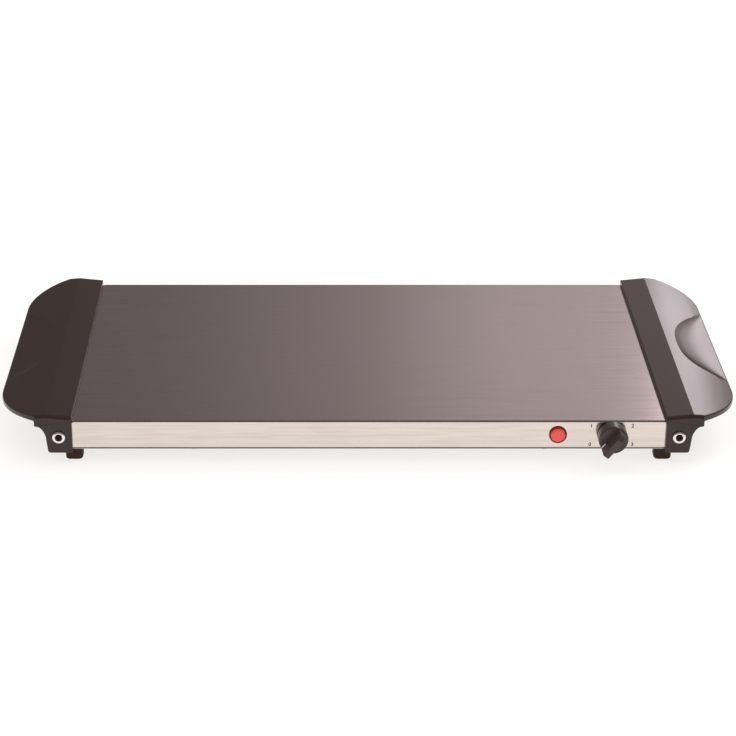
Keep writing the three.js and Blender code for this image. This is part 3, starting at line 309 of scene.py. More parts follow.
@dataclass(frozen=True)
class Finishes:
    """Every finish on the tray, by the record's slot name."""

    # Ferritic stainless sheet, brushed along its length: soft warm grey with fine long scratches.
    # Real scratches lie 0.1 mm apart; they are drawn 1.7 and 3.4 mm apart so that they show.
    cover_steel: Finish = Finish(
        "brushed stainless sheet",
        "#dbcfc8",
        Grain.BRUSHED,
        0.16,
        1.0,
        spread=0.11,
        pitch=1.7,
        depth=0.006,
        anisotropy=0.7,
    )
    # Zinc-plated mild steel: dull grey with a faint spangle.
    plated_steel: Finish = Finish(
        "zinc plated steel", "#a3a5a6", Grain.PLATED, 0.45, 1.0, spread=0.1, pitch=2.5, depth=0.01
    )
    # Phenolic moulding in dark brown-grey: satin, with a fine even texture.
    handle_plastic: Finish = Finish(
        "dark phenolic moulding",
        "#33261f",
        Grain.MOULDED,
        0.18,
        spread=0.1,
        pitch=0.9,
        depth=0.012,
        specular=0.36,
    )
    # ABS knob in brown-black, a little duller than the handles.
    knob_plastic: Finish = Finish(
        "near black ABS", "#40342e", Grain.MOULDED, 0.27, spread=0.1, pitch=1.2, depth=0.006, specular=0.4
    )
    # Nitrile rubber: matt brown-black with a slightly dusty look.
    foot_rubber: Finish = Finish(
        "nitrile rubber", "#3a2618", Grain.MOULDED, 0.6, spread=0.25, pitch=0.6, depth=0.03, specular=0.22
    )
    # Nickel-chrome plate on brass: very bright, with a soft edge to what it mirrors.
    washer_chrome: Finish = Finish(
        "chrome plated brass", "#f8f2e9", Grain.POLISHED, 0.3, 1.0, spread=0.02, pitch=3.0, depth=0.002
    )
    # Black oxide on steel: dark with a soft oily shine.
    dark_screw: Finish = Finish(
        "black oxide steel", "#1b1a19", Grain.POLISHED, 0.35, 0.7, spread=0.2, pitch=0.8, depth=0.01
    )
    # Cold rolled brass: yellow, with faint rolling lines.
    contact_brass: Finish = Finish(
        "rolled brass", "#c9a75a", Grain.BRUSHED, 0.28, 1.0, spread=0.08, pitch=0.6, depth=0.005
    )
    # Steatite: off-white, finely speckled, with a dull glaze.
    ceramic_body: Finish = Finish(
        "steatite ceramic", "#ebe6da", Grain.FIRED, 0.35, spread=0.04, pitch=0.5, depth=0.01, coat=0.3
    )
    # Iron-chrome heating alloy: grey-brown with heat tint along the strip.
    heater_alloy: Finish = Finish(
        "heat tinted resistance strip",
        "#8f8274",
        Grain.OXIDISED,
        0.4,
        1.0,
        spread=0.18,
        pitch=3.0,
        depth=0.01,
    )
    # Phlogopite mica sheet: amber-brown, with flakes a few millimetres wide.
    mica_sheet: Finish = Finish(
        "pressed mica sheet", "#b49a6e", Grain.FLAKED, 0.4, spread=0.22, pitch=4.0, depth=0.02, coat=0.2
    )
    # Ceramic fibre mat: white, matt and soft.
    insulation_fibre: Finish = Finish(
        "ceramic fibre mat", "#e9e6de", Grain.FIBROUS, 0.9, spread=0.06, pitch=1.4, depth=0.3, sheen=0.4
    )
    # Polycarbonate bezel in dark red-brown.
    bezel_plastic: Finish = Finish(
        "dark red polycarbonate",
        "#741f19",
        Grain.MOULDED,
        0.16,
        ior=1.58,
        spread=0.1,
        pitch=0.8,
        depth=0.004,
    )
    # Clear red polycarbonate lens, with a painted glow: it glows by itself, as the bulb behind it is not
    # lit.
    lens_red: Finish = Finish(
        "clear red polycarbonate",
        "#df4f47",
        Grain.POLISHED,
        0.12,
        ior=1.58,
        spread=0.12,
        pitch=1.0,
        depth=0.01,
        transmission=0.3,
        # Painted glow on the lens.
        glow=0.22,
    )
    # Soda glass bulb, with a faint warm tint.
    bulb_glass: Finish = Finish(
        "soda glass",
        "#f6e3d2",
        Grain.POLISHED,
        0.05,
        ior=1.52,
        spread=0.02,
        pitch=2.0,
        depth=0.002,
        transmission=0.85,
    )
    # Glass-fibre braid over the wire: off-white, with diagonal threads 0.5 mm apart.
    white_sleeve: Finish = Finish(
        "white glass-fibre sleeve", "#e4dfd3", Grain.WOVEN, 0.7, spread=0.1, pitch=0.5, depth=0.06, sheen=0.2
    )
    green_sleeve: Finish = Finish(
        "green glass-fibre sleeve",
        "#6a9a3c",
        Grain.WOVEN,
        0.7,
        spread=0.12,
        pitch=0.5,
        depth=0.06,
        sheen=0.2,
    )
    # Screen-printed epoxy ink on the panel.
    dial_ink: Finish = Finish(
        "dark printing ink", "#2a2018", Grain.MOULDED, 0.5, spread=0.1, pitch=0.4, depth=0.004
    )
    # White paint for a painted highlight: a line that stands for the glint along the knob's grip bar.
    painted_glint: Finish = Finish(
        "white painted glint", "#eeeae2", Grain.MOULDED, 0.45, spread=0.05, pitch=0.4, depth=0.004
    )


def arc(centre: Point2, radius: float, start: float, end: float, steps: int) -> list[Point2]:
    """Points on an arc, both ends included.

    Args:
        centre: the arc's centre.
        radius: its radius.
        start: first angle in degrees.
        end: last angle in degrees.
        steps: how many equal parts the arc has.

    Returns:
        The points in order.
    """
    angles = [math.radians(start + (end - start) * i / steps) for i in range(steps + 1)]
    return [(centre[0] + radius * math.cos(a), centre[1] + radius * math.sin(a)) for a in angles]


def bezier(first: Point2, pull: Point2, last: Point2, steps: int) -> list[Point2]:
    """Points on a quadratic curve, both ends included.

    Args:
        first: where the curve starts.
        pull: its control point.
        last: where it ends.
        steps: how many parts it has.

    Returns:
        The points in order.
    """
    points = []
    for i in range(steps + 1):
        t = i / steps
        weights = ((1 - t) ** 2, 2 * t * (1 - t), t**2)
        ends = (first, pull, last)
        points.append(tuple(sum(w * p[k] for w, p in zip(weights, ends)) for k in (0, 1)))
    return points


def to_object(name: str, form: bmesh.types.BMesh, crease: float = METAL_CREASE) -> bpy.types.Object:
    """Turn a mesh in millimetres to an object in metres, shaded smooth but for sharp edges.

    Args:
        name: the piece's name.
        form: the mesh, which is freed.
        crease: angle in degrees from which an edge stays sharp.

    Returns:
        The linked object, at the origin.
    """
    bmesh.ops.remove_doubles(form, verts=form.verts, dist=MESH_WELD)
    bmesh.ops.recalc_face_normals(form, faces=form.faces)
    bmesh.ops.transform(form, matrix=Matrix.Scale(MM, 4), verts=form.verts)
    mesh = bpy.data.meshes.new(name)
    form.to_mesh(mesh)
    form.free()
    mesh.shade_smooth()
    mesh.set_sharp_from_angle(angle=math.radians(crease))
    piece = bpy.data.objects.new(name, mesh)
    bpy.context.scene.collection.objects.link(piece)
    return piece


def bake(piece: bpy.types.Object) -> bpy.types.Object:
    """Replace a piece's mesh by what its modifiers make of it, and take them off.

    Args:
        piece: the object with modifiers.

    Returns:
        The same object.
    """
    graph = bpy.context.evaluated_depsgraph_get()
    shown = piece.evaluated_get(graph)
    mesh = bpy.data.meshes.new_from_object(shown, preserve_all_data_layers=True, depsgraph=graph)
    old = piece.data
    piece.modifiers.clear()
    piece.data = mesh
    bpy.data.meshes.remove(old)
    return piece


def combine(piece: bpy.types.Object, tools: Sequence[bpy.types.Object], operation: str) -> bpy.types.Object:
    """Join shapes to a piece, or cut them out of it.

    Args:
        piece: the object that is changed.
        tools: the shapes, which are deleted.
        operation: UNION or DIFFERENCE.

    Returns:
        The changed piece.
    """
    for tool in tools:
        step = piece.modifiers.new(operation.lower(), "BOOLEAN")
        step.operation = operation
        step.solver = "EXACT"
        step.object = tool
    bake(piece)
    for tool in tools:
        bpy.data.objects.remove(tool)
    return piece


def carve(piece: bpy.types.Object, tools: Sequence[bpy.types.Object], crease: float) -> bpy.types.Object:
    """Cut shapes out of a piece, then even out its shading.

    Args:
        piece: the object that is cut.
        tools: the shapes that are taken away, which are deleted.
        crease: angle in degrees from which an edge stays sharp.

    Returns:
        The cut piece.
    """
    combine(piece, tools, "DIFFERENCE")
    piece.data.set_sharp_from_angle(angle=math.radians(crease))
    even = piece.modifiers.new("even shading", "WEIGHTED_NORMAL")
    even.keep_sharp = True
    return bake(piece)


def turned(profile: Sequence[Point2], steps: int, closed: bool = False) -> bmesh.types.BMesh:
    """Turn a profile of radius and height points about Z.

    Args:
        profile: pairs of radius and height.
        steps: faces round the axis.
        closed: whether the profile's last point joins its first.

    Returns:
        The turned mesh.
    """
    form = bmesh.new()
    rings = []
    for radius, height in profile:
        if radius < NO_LENGTH:
            rings.append([form.verts.new((0, 0, height))] * steps)
            continue
        angles = [2 * math.pi * i / steps for i in range(steps)]
        rings.append([form.verts.new((radius * math.cos(a), radius * math.sin(a), height)) for a in angles])
    pairs = list(zip(rings, rings[1:]))
    if closed:
        pairs.append((rings[-1], rings[0]))
    for low, high in pairs:
        for i in range(steps):
            j = (i + 1) % steps
            corners = list(dict.fromkeys((low[i], low[j], high[j], high[i])))
            if len(corners) > 2:
                form.faces.new(corners)
    return form


def lofted(sections: Sequence[Sequence[Point3]]) -> bmesh.types.BMesh:
    """Join a row of closed sections with the same number of points, and close both ends.

    Args:
        sections: the sections, in order.

    Returns:
        The closed mesh.
    """
    form = bmesh.new()
    rings = [[form.verts.new(point) for point in section] for section in sections]
    for here, after in zip(rings, rings[1:]):
        for i in range(len(here)):
            j = (i + 1) % len(here)
            form.faces.new((here[i], here[j], after[j], after[i]))
    form.faces.new(rings[0])
    form.faces.new(rings[-1])
    return form


def prism(outline: Sequence[Point2], axis: str, start: float, end: float) -> bmesh.types.BMesh:
    """Draw a flat outline out along an axis.

    Args:
        outline: points in the two other axes, in X, Y, Z order.
        axis: x, y or z.
        start: where it starts along the axis.
        end: where it ends.

    Returns:
        The closed mesh.
    """
    spot = {"x": lambda u, v, w: (w, u, v), "y": lambda u, v, w: (u, w, v), "z": lambda u, v, w: (u, v, w)}
    return lofted([[spot[axis](u, v, w) for u, v in outline] for w in (start, end)])


def rod(radius: float, start: Point3, end: Point3, steps: int = 32) -> bmesh.types.BMesh:
    """Make a round bar between two points.

    Args:
        radius: the bar's radius.
        start: centre of one end.
        end: centre of the other end.
        steps: faces round it.

    Returns:
        The closed mesh.
    """
    first = Vector(start)
    run = Vector(end) - first
    form = turned([(0, 0), (radius, 0), (radius, run.length), (0, run.length)], steps)
    aim = run.to_track_quat("Z", "Y").to_matrix().to_4x4()
    bmesh.ops.transform(form, matrix=Matrix.Translation(first) @ aim, verts=form.verts)
    return form


def placed(form: bmesh.types.BMesh, place: Matrix) -> bmesh.types.BMesh:
    """Move a mesh by a matrix in millimetres and give it back."""
    bmesh.ops.transform(form, matrix=place, verts=form.verts)
    return form


def merged(forms: Iterable[bmesh.types.BMesh]) -> bmesh.types.BMesh:
    """Put several meshes in one.

    Args:
        forms: the meshes, which are freed.

    Returns:
        One mesh that holds them all.
    """
    whole = bmesh.new()
    for form in forms:
        part = bpy.data.meshes.new("part")
        form.to_mesh(part)
        form.free()
        whole.from_mesh(part)
        bpy.data.meshes.remove(part)
    return whole


# A turned profile's height runs along Z, and the front panel faces -Y. This turns the height to -Y.
OUT_OF_PANEL = Matrix.Rotation(math.radians(90), 4, "X")


@dataclass
class Places:
    """Levels and places that the sub-assemblies share, read from the frame."""

    front: float = 0.0
    rear: float = 0.0
    plate_top: float = 0.0
    plate_end: float = 253.0
    skirt_height: float = 25.4
    knob_x: float = 207.4
    lamp_x: float = 161.2
    bush_x: float = 222.0
    screw_x: float = 264.2
    screw_drop: float = 13.6
    sheet: float = 0.8
    gap: float = 0.3
    cover_end: float = 0.0
    panel_middle: float = 0.0
    skirt_bottom: float = 0.0

    @classmethod
    def from_frame(cls) -> "Places":
        """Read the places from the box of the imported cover.

        Returns:
            The places, with the levels filled in.
        """
        low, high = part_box("top_cover")
        places = cls(front=low.y / MM, rear=high.y / MM, plate_top=high.z / MM, cover_end=high.x / MM)
        places.skirt_bottom = places.plate_top - places.skirt_height
        places.panel_middle = places.plate_top - places.skirt_height / 2
        log.info("front %.2f, rear %.2f, plate top %.2f", places.front, places.rear, places.plate_top)
        return places

    def depth(self) -> float:
        """Depth of the cover over its skirts."""
        return self.rear - self.front

    def centre(self) -> float:
        """Place half-way between the skirts."""
        return (self.front + self.rear) / 2


class Pattern:
    """Geometry Nodes trees for what repeats on the tray."""

    @staticmethod
    def start(name: str, inputs: dict[str, str], made: str) -> tuple[bpy.types.NodeTree, Any]:
        """Start a tree with its named inputs and its one output.

        Args:
            name: the tree's name.
            inputs: kind of socket by the input's name, in order.
            made: the output's name.

        Returns:
            The tree, and the sockets that carry its inputs.
        """
        tree = bpy.data.node_groups.new(name, "GeometryNodeTree")
        for label, kind in inputs.items():
            tree.interface.new_socket(label, in_out="INPUT", socket_type=f"NodeSocket{kind}")
        tree.interface.new_socket(made, in_out="OUTPUT", socket_type="NodeSocketGeometry")
        return tree, add_node(tree, "NodeGroupInput").outputs

    @staticmethod
    def corners() -> bpy.types.NodeTree:
        """Build the tree that copies a piece to the four corners of a rectangle.

        Returns:
            A tree with inputs for the rectangle, the turn of the rear pair and the finish.
        """
        inputs = {
            "Piece": "Geometry",
            "Length between": "Float",
            "Depth between": "Float",
            "Rear turn": "Float",
            "Middle": "Vector",
            "Finish": "Material",
        }
        tree, given = Pattern.start("corner fasteners", inputs, "Piece")
        grid = add_node(
            tree,
            "GeometryNodeMeshGrid",
            sockets={
                "Size X": given["Length between"],
                "Size Y": given["Depth between"],
                "Vertices X": 2,
                "Vertices Y": 2,
            },
        )
        place = add_node(tree, "GeometryNodeInputPosition").outputs[0]
        spot = add_node(tree, "ShaderNodeSeparateXYZ", sockets={0: place})
        behind = reckon(tree, "GREATER_THAN", spot.outputs["Y"], 0.0)
        turn = reckon(tree, "MULTIPLY", behind, given["Rear turn"])
        spin = add_node(tree, "ShaderNodeCombineXYZ", sockets={"Z": turn})
        sockets = {"Points": grid.outputs["Mesh"], "Instance": given["Piece"], "Rotation": spin.outputs[0]}
        copies = add_node(tree, "GeometryNodeInstanceOnPoints", sockets=sockets)
        sockets = {"Geometry": copies.outputs[0], "Translation": given["Middle"]}
        moved = add_node(tree, "GeometryNodeTransform", sockets=sockets)
        return Pattern.close(tree, moved.outputs[0], given["Finish"])

    @staticmethod
    def row() -> bpy.types.NodeTree:
        """Build the tree that repeats a piece at an even pitch along Y.

        Returns:
            A tree with inputs for the count, the pitch, the first place and the finish.
        """
        inputs = {
            "Piece": "Geometry",
            "Count": "Int",
            "Pitch": "Float",
            "First place": "Vector",
            "Finish": "Material",
        }
        tree, given = Pattern.start("pressed ribs", inputs, "Piece")
        step = add_node(tree, "ShaderNodeCombineXYZ", sockets={"Y": given["Pitch"]})
        line = add_node(
            tree,
            "GeometryNodeMeshLine",
            {"mode": "OFFSET", "count_mode": "TOTAL"},
            {"Count": given["Count"], "Start Location": given["First place"], "Offset": step.outputs[0]},
        )
        sockets = {"Points": line.outputs[0], "Instance": given["Piece"]}
        copies = add_node(tree, "GeometryNodeInstanceOnPoints", sockets=sockets)
        return Pattern.close(tree, copies.outputs[0], given["Finish"])

    @staticmethod
    def fold() -> bpy.types.NodeTree:
        """Build the tree that draws a folded sheet's section out along X.

        Returns:
            A tree with inputs for where the sheet starts, how long it is and its finish.
        """
        inputs = {"Section": "Geometry", "Start": "Float", "Length": "Float", "Finish": "Material"}
        tree, given = Pattern.start("folded sheet", inputs, "Sheet")
        start = add_node(tree, "ShaderNodeCombineXYZ", sockets={"X": given["Start"]})
        sockets = {"Geometry": given["Section"], "Translation": start.outputs[0]}
        near = add_node(tree, "GeometryNodeTransform", sockets=sockets)
        run = add_node(tree, "ShaderNodeCombineXYZ", sockets={"X": given["Length"]})
        drawn = add_node(
            tree,
            "GeometryNodeExtrudeMesh",
            {"mode": "FACES"},
            {"Mesh": near.outputs[0], "Offset": run.outputs[0], "Individual": False},
        )
        back = add_node(tree, "GeometryNodeFlipFaces", sockets={"Mesh": near.outputs[0]})
        both = add_node(tree, "GeometryNodeJoinGeometry")
        tree.links.new(back.outputs[0], both.inputs[0])
        tree.links.new(drawn.outputs["Mesh"], both.inputs[0])
        sockets = {"Geometry": both.outputs[0], "Distance": SHEET_WELD * MM}
        shut = add_node(tree, "GeometryNodeMergeByDistance", sockets=sockets)
        return Pattern.close(tree, shut.outputs[0], given["Finish"])

    @staticmethod
    def close(
        tree: bpy.types.NodeTree, made: bpy.types.NodeSocket, finish: bpy.types.NodeSocket
    ) -> bpy.types.NodeTree:
        """End a tree with realised copies and their material.

        Args:
            tree: the tree.
            made: the geometry so far.
            finish: the material input.

        Returns:
            The same tree.
        """
        real = add_node(tree, "GeometryNodeRealizeInstances", sockets={"Geometry": made})
        sockets = {"Geometry": real.outputs[0], "Material": finish}
        dressed = add_node(tree, "GeometryNodeSetMaterial", sockets=sockets)
        add_node(tree, "NodeGroupOutput", sockets={0: dressed.outputs[0]})
        return tree

    @staticmethod
    def apply(piece: bpy.types.Object, tree: bpy.types.NodeTree, values: dict[str, Any]) -> bpy.types.Object:
        """Run a tree on a piece and keep the result as its plain mesh.

        Args:
            piece: the object whose mesh is the tree's first input.
            tree: the tree.
            values: the tree's other inputs by name.

        Returns:
            The same object, with no modifier.
        """
        step = piece.modifiers.new(tree.name, "NODES")
        step.node_group = tree
        sockets = {
            item.name: item.identifier
            for item in tree.interface.items_tree
            if item.item_type == "SOCKET" and item.in_out == "INPUT"
        }
        for name, value in values.items():
            step[sockets[name]] = value
        return bake(piece)


@dataclass
class SubAssembly:
    """Shared work of the tray's sub-assemblies."""

    places: Places
    materials: dict[str, bpy.types.Material]
    trees: dict[str, bpy.types.NodeTree]

    def dress(
        self,
        piece: bpy.types.Object,
        finish: str,
        nodes: Sequence[str] = (),
        body: str = BODY,
        slot: str | None = None,
    ) -> None:
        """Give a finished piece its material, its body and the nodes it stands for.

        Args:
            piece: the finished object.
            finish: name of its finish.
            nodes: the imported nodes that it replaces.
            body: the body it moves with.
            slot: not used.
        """
        piece.data.materials.clear()
        piece.data.materials.append(self.materials[finish])
        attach(piece, body)
        if nodes:
            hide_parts(*nodes)
        log.info("%s: %d faces, on %s", piece.name, len(piece.data.polygons), body)

    def keep(self, packed: dict[str, bpy.types.Object], finish: str, *names: str) -> None:
        """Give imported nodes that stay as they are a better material.

        Args:
            packed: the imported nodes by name.
            finish: name of the finish.
            names: the nodes that get it.
        """
        for name in names:
            mesh = packed[name].data
            mesh.materials.clear()
            mesh.materials.append(self.materials[finish])
            log.info("%s keeps its packed shape, in %s", name, finish)

    def at_corners(
        self,
        piece: bpy.types.Object,
        spread: Point2,
        level: float,
        finish: str,
        nodes: Sequence[str] = (),
        turn: float = 0.0,
    ) -> None:
        """Copy a piece to the corners of a rectangle about the cover's centre, and dress the four.

        Args:
            piece: the piece, about the origin, which becomes all four.
            spread: distance between the corners along X and Y.
            level: height of the rectangle.
            finish: name of the finish.
            nodes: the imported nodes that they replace.
            turn: turn of the rear pair about Z, in degrees.
        """
        values = {
            "Length between": spread[0] * MM,
            "Depth between": spread[1] * MM,
            "Rear turn": math.radians(turn),
            "Middle": (0.0, self.places.centre() * MM, level * MM),
            "Finish": self.materials[finish],
        }
        Pattern.apply(piece, self.trees["corners"], values)
        self.dress(piece, finish, nodes)


@dataclass
class Cover(SubAssembly):
    """The bent steel cover: hot plate, skirts and return flanges in one sheet."""

    bend: float = 1.5
    flange: float = 9.0
    joggle: float = 0.6
    joggle_inset: float = 1.0
    bend_steps: int = 9
    hole_faces: int = 48
    stud_faces: int = 20
    lamp_hole: float = 7.0
    spindle_hole: float = 4.2
    screw_hole: float = 2.05
    bush_hole: float = 6.5
    stud: float = 1.5
    stud_drop: float = 15.8
    stud_spread: Point2 = (240.0, 159.0)
    cut_out: float = 1.0
    cut_in: float = 3.0

    def section(self, top: float) -> list[Point2]:
        """Closed outline of the sheet across the tray.

        Args:
            top: level of the plate's upper face.

        Returns:
            Points of Y and Z.
        """
        at = self.places
        inner = self.bend - at.sheet
        low, high = at.skirt_bottom + self.bend, top - self.bend
        near, far = at.front + self.bend, at.rear - self.bend
        n = self.bend_steps
        outside = [
            *arc((near, low), self.bend, 270, 180, n),
            *arc((near, high), self.bend, 180, 90, n),
            *arc((far, high), self.bend, 90, 0, n),
            *arc((far, low), self.bend, 0, -90, n),
        ]
        inside = [
            *arc((far, low), inner, -90, 0, n),
            *arc((far, high), inner, 0, 90, n),
            *arc((near, high), inner, 90, 180, n),
            *arc((near, low), inner, 180, 270, n),
        ]
        lip = at.skirt_bottom + at.sheet
        rear_lip = [(at.rear - self.flange, at.skirt_bottom), (at.rear - self.flange, lip)]
        front_lip = [(at.front + self.flange, lip), (at.front + self.flange, at.skirt_bottom)]
        return [*outside, *rear_lip, *inside, *front_lip]

    def run(self, name: str, top: float, start: float, end: float) -> bpy.types.Object:
        """Draw one stretch of the folded sheet out along X.

        Args:
            name: name of the stretch.
            top: level of its plate.
            start: where it starts.
            end: where it ends.

        Returns:
            The stretch as an object.
        """
        form = bmesh.new()
        form.faces.new([form.verts.new((0, y, z)) for y, z in self.section(top)])
        form.normal_update()
        if form.faces[:][0].normal.x < 0:
            bmesh.ops.reverse_faces(form, faces=form.faces)
        bmesh.ops.transform(form, matrix=Matrix.Scale(MM, 4), verts=form.verts)
        mesh = bpy.data.meshes.new(name)
        form.to_mesh(mesh)
        form.free()
        piece = bpy.data.objects.new(name, mesh)
        bpy.context.scene.collection.objects.link(piece)
        values = {
            "Start": start * MM,
            "Length": (end - start) * MM,
            "Finish": self.materials["cover_steel"],
        }
        return Pattern.apply(piece, self.trees["fold"], values)

    def lay_grain(self, piece: bpy.types.Object) -> None:
        """Give a piece a map whose first direction runs across the brushing.

        Args:
            piece: the sheet piece.
        """
        grain = piece.data.uv_layers.new(name="grain")
        places = piece.data.vertices
        for loop in piece.data.loops:
            spot = places[loop.vertex_index].co
            grain.data[loop.index].uv = (spot.y - spot.z, spot.x)

    def holes(self) -> list[bpy.types.Object]:
        """Make the cutters for the holes in both skirts.

        Returns:
            One round bar for each hole.
        """
        at = self.places
        middle = at.panel_middle
        screws = [(self.screw_hole, x, at.plate_top - at.screw_drop) for x in (at.screw_x, -at.screw_x)]
        front = [(self.lamp_hole, at.lamp_x, middle), (self.spindle_hole, at.knob_x, middle), *screws]
        rear = [(self.bush_hole, at.bush_x, middle), *screws]
        skirts = (
            (front, at.front - self.cut_out, at.front + self.cut_in),
            (rear, at.rear - self.cut_in, at.rear + self.cut_out),
        )
        cutters = []
        for places, first, last in skirts:
            for radius, x, z in places:
                form = rod(radius, (x, first, z), (x, last, z), self.hole_faces)
                cutters.append(to_object("hole", form))
        return cutters

    def build(self) -> None:
        """Make the cover and dress it."""
        at = self.places
        step = at.plate_end - self.joggle_inset
        low = at.plate_top - self.joggle
        plate = self.run("top_cover_plate", at.plate_top, -step, step)
        ends = [self.run("end", low, step, at.cover_end), self.run("end", low, -at.cover_end, -step)]
        combine(plate, ends, "UNION")
        carve(plate, self.holes(), METAL_CREASE)
        self.lay_grain(plate)
        self.dress(plate, "cover_steel", ["top_cover"])
        stud = to_object("cover_studs", rod(self.stud, (0, 0, 0), (0, 0, self.stud_drop), self.stud_faces))
        self.at_corners(stud, self.stud_spread, at.plate_top - at.sheet - self.stud_drop, "cover_steel")
        self.lay_grain(stud)


@dataclass
class Handles(SubAssembly):
    """The moulded handles: a band along the plate, a curved wing and two cheeks."""

    proud: float = 3.0
    lip_rise: float = 0.7
    lip_wall: float = 3.2
    lip_round: float = 0.9
    lip_run: float = 4.0
    lip_crest: float = 4.4
    crease_run: float = 23.0
    crease_rise: float = 6.3
    root_run: float = 32.0
    reach: float = 66.4
    crown_fall: float = 5.8
    crown_slope: float = 0.55
    corner_radius: float = 80.0
    corner_inset: float = 1.6
    rounding: float = 3.0
    rim: float = 5.0
    rim_radius: float = 1.5
    rim_low_radius: float = 1.1
    root_step: float = 0.15
    end_wall_run: float = 21.0
    wall: float = 2.8
    band_wall: float = 2.6
    cheek_drop: float = 28.8
    cheek_corner: float = 2.4
    cove_top: float = 3.9
    cove_wall: float = 22.2
    cove_foot: float = 16.5
    cove_corner: float = 2.0
    cove_fullness: float = 0.45
    edge_radius: float = 0.8
    scoop_half: float = 78.0
    scoop_reach: float = 35.0
    scoop_wall: float = 6.0
    scoop_bowl: float = 1.9
    scoop_power: float = 2.65
    screw_hole: float = 2.05
    steady_over: float = 12.0
    thinnest: float = 0.05
    crease_gap: float = 1.2
    after_crease: Point2 = (0.3, 0.7)
    before_scoop: Point2 = (8.0, 3.0)
    open_run: float = 1.0
    open_drop: float = 0.3
    crease_angle: float = 50.0
    hole_faces: int = 40
    lip_steps: int = 7
    rim_angle: float = 75.0
    rim_steps: int = 5
    low_rim_steps: int = 4
    cove_steps: int = 14
    heel_steps: int = 6
    hollow_steps: int = 10
    # Where a section has its points, as shares of each stretch of it.
    band_shares: Shares = (0.1, 0.3, 0.55, 0.8, 0.97)
    even_shares: Shares = (0.2, 0.4, 0.6, 0.8, 1.0)
    wall_shares: Shares = (0.0, 0.08, 0.18, 0.3, 0.42, 0.54, 0.66, 0.78, 0.9, 1.0)
    bowl_shares: Shares = (0.17, 0.34, 0.5, 0.67, 0.84, 1.0)
    # Where sections stand along the handle: over its end's round, its corner and half its scoop.
    end_places: Shares = (0.0, 0.1, 0.25, 0.45, 0.62, 0.8, 1.1, 1.4)
    near_corner_shares: Shares = (0.004, 0.012, 0.026, 0.045, 0.07, 0.1, 0.14, 0.19, 0.25)
    far_corner_shares: Shares = (0.32, 0.4, 0.49, 0.58, 0.68, 0.78, 0.89, 1.0)
    far_scoop_shares: Shares = (1.0, 0.97, 0.93, 0.88, 0.82, 0.75, 0.67)
    near_scoop_shares: Shares = (0.58, 0.49, 0.39, 0.29, 0.19, 0.09)

    def length(self) -> float:
        """Length of the handle over its cheeks."""
        return self.places.depth() + 2 * self.proud

    def corner_length(self) -> float:
        """How far the rounded corner of the wing runs along the handle."""
        over = self.reach - self.root_run
        return self.corner_inset + math.sqrt(self.corner_radius**2 - (self.corner_radius - over) ** 2)

    def wing_edge(self, from_end: float) -> float:
        """Find how far out the wing's edge is.

        Args:
            from_end: distance from the nearer end of the handle.

        Returns:
            The edge's distance out from the plate's end.
        """
        run = max(self.corner_length() - from_end, 0.0)
        bow = self.corner_radius - math.sqrt(max(self.corner_radius**2 - run**2, 0.0))
        return max(self.reach - bow, self.root_run)

    def crown(self, run: float) -> float:
        """Find the height of the plain wing.

        Args:
            run: distance out from the plate's end.

        Returns:
            The height above the plate.
        """
        share = (run - self.crease_run) / (self.reach - self.crease_run)
        slopes = self.crown_slope * share + (1 - self.crown_slope) * share**2
        return self.crease_rise - self.crown_fall * slopes

    def scoop_edge(self, from_middle: float) -> float:
        """Inner edge of the finger scoop at a distance from the handle's middle."""
        share = min(abs(from_middle) / self.scoop_half, 1.0)
        return self.reach - self.scoop_reach * (1 - share**self.scoop_power)

    def top(self, run: float, from_middle: float) -> float:
        """Height of the wing with the scoop pressed into it.

        Args:
            run: distance out from the plate's end.
            from_middle: distance from the handle's middle.

        Returns:
            The height above the plate.
        """
        plain = self.crown(run)
        inner = self.scoop_edge(from_middle)
        if run <= inner:
            return plain
        rim = self.crease_rise - self.crown_fall
        left = max((self.reach - run) / (self.reach - inner), 0.0)
        return min(plain, rim + (self.crown(inner) - rim) * left**self.scoop_bowl)

    def cove(self) -> list[Point2]:
        """Hollow curve from below the wing's root down to the end wall.

        Returns:
            Points of run and height, from the root down.
        """
        turn = Vector((self.cove_wall, -self.cove_top))
        first = Vector((self.root_run - self.cove_corner, -self.cove_top - self.cove_corner / 4))
        last = Vector((self.cove_wall, -self.cove_foot))
        pulls = [end.lerp(turn, self.cove_fullness) for end in (first, last)]
        points = []
        for i in range(self.cove_steps + 1):
            t = i / self.cove_steps
            weights = ((1 - t) ** 3, 3 * t * (1 - t) ** 2, 3 * t * t * (1 - t), t**3)
            spot = sum((w * p for w, p in zip(weights, (first, *pulls, last))), Vector((0, 0)))
            points.append((spot.x, spot.y))
        return points

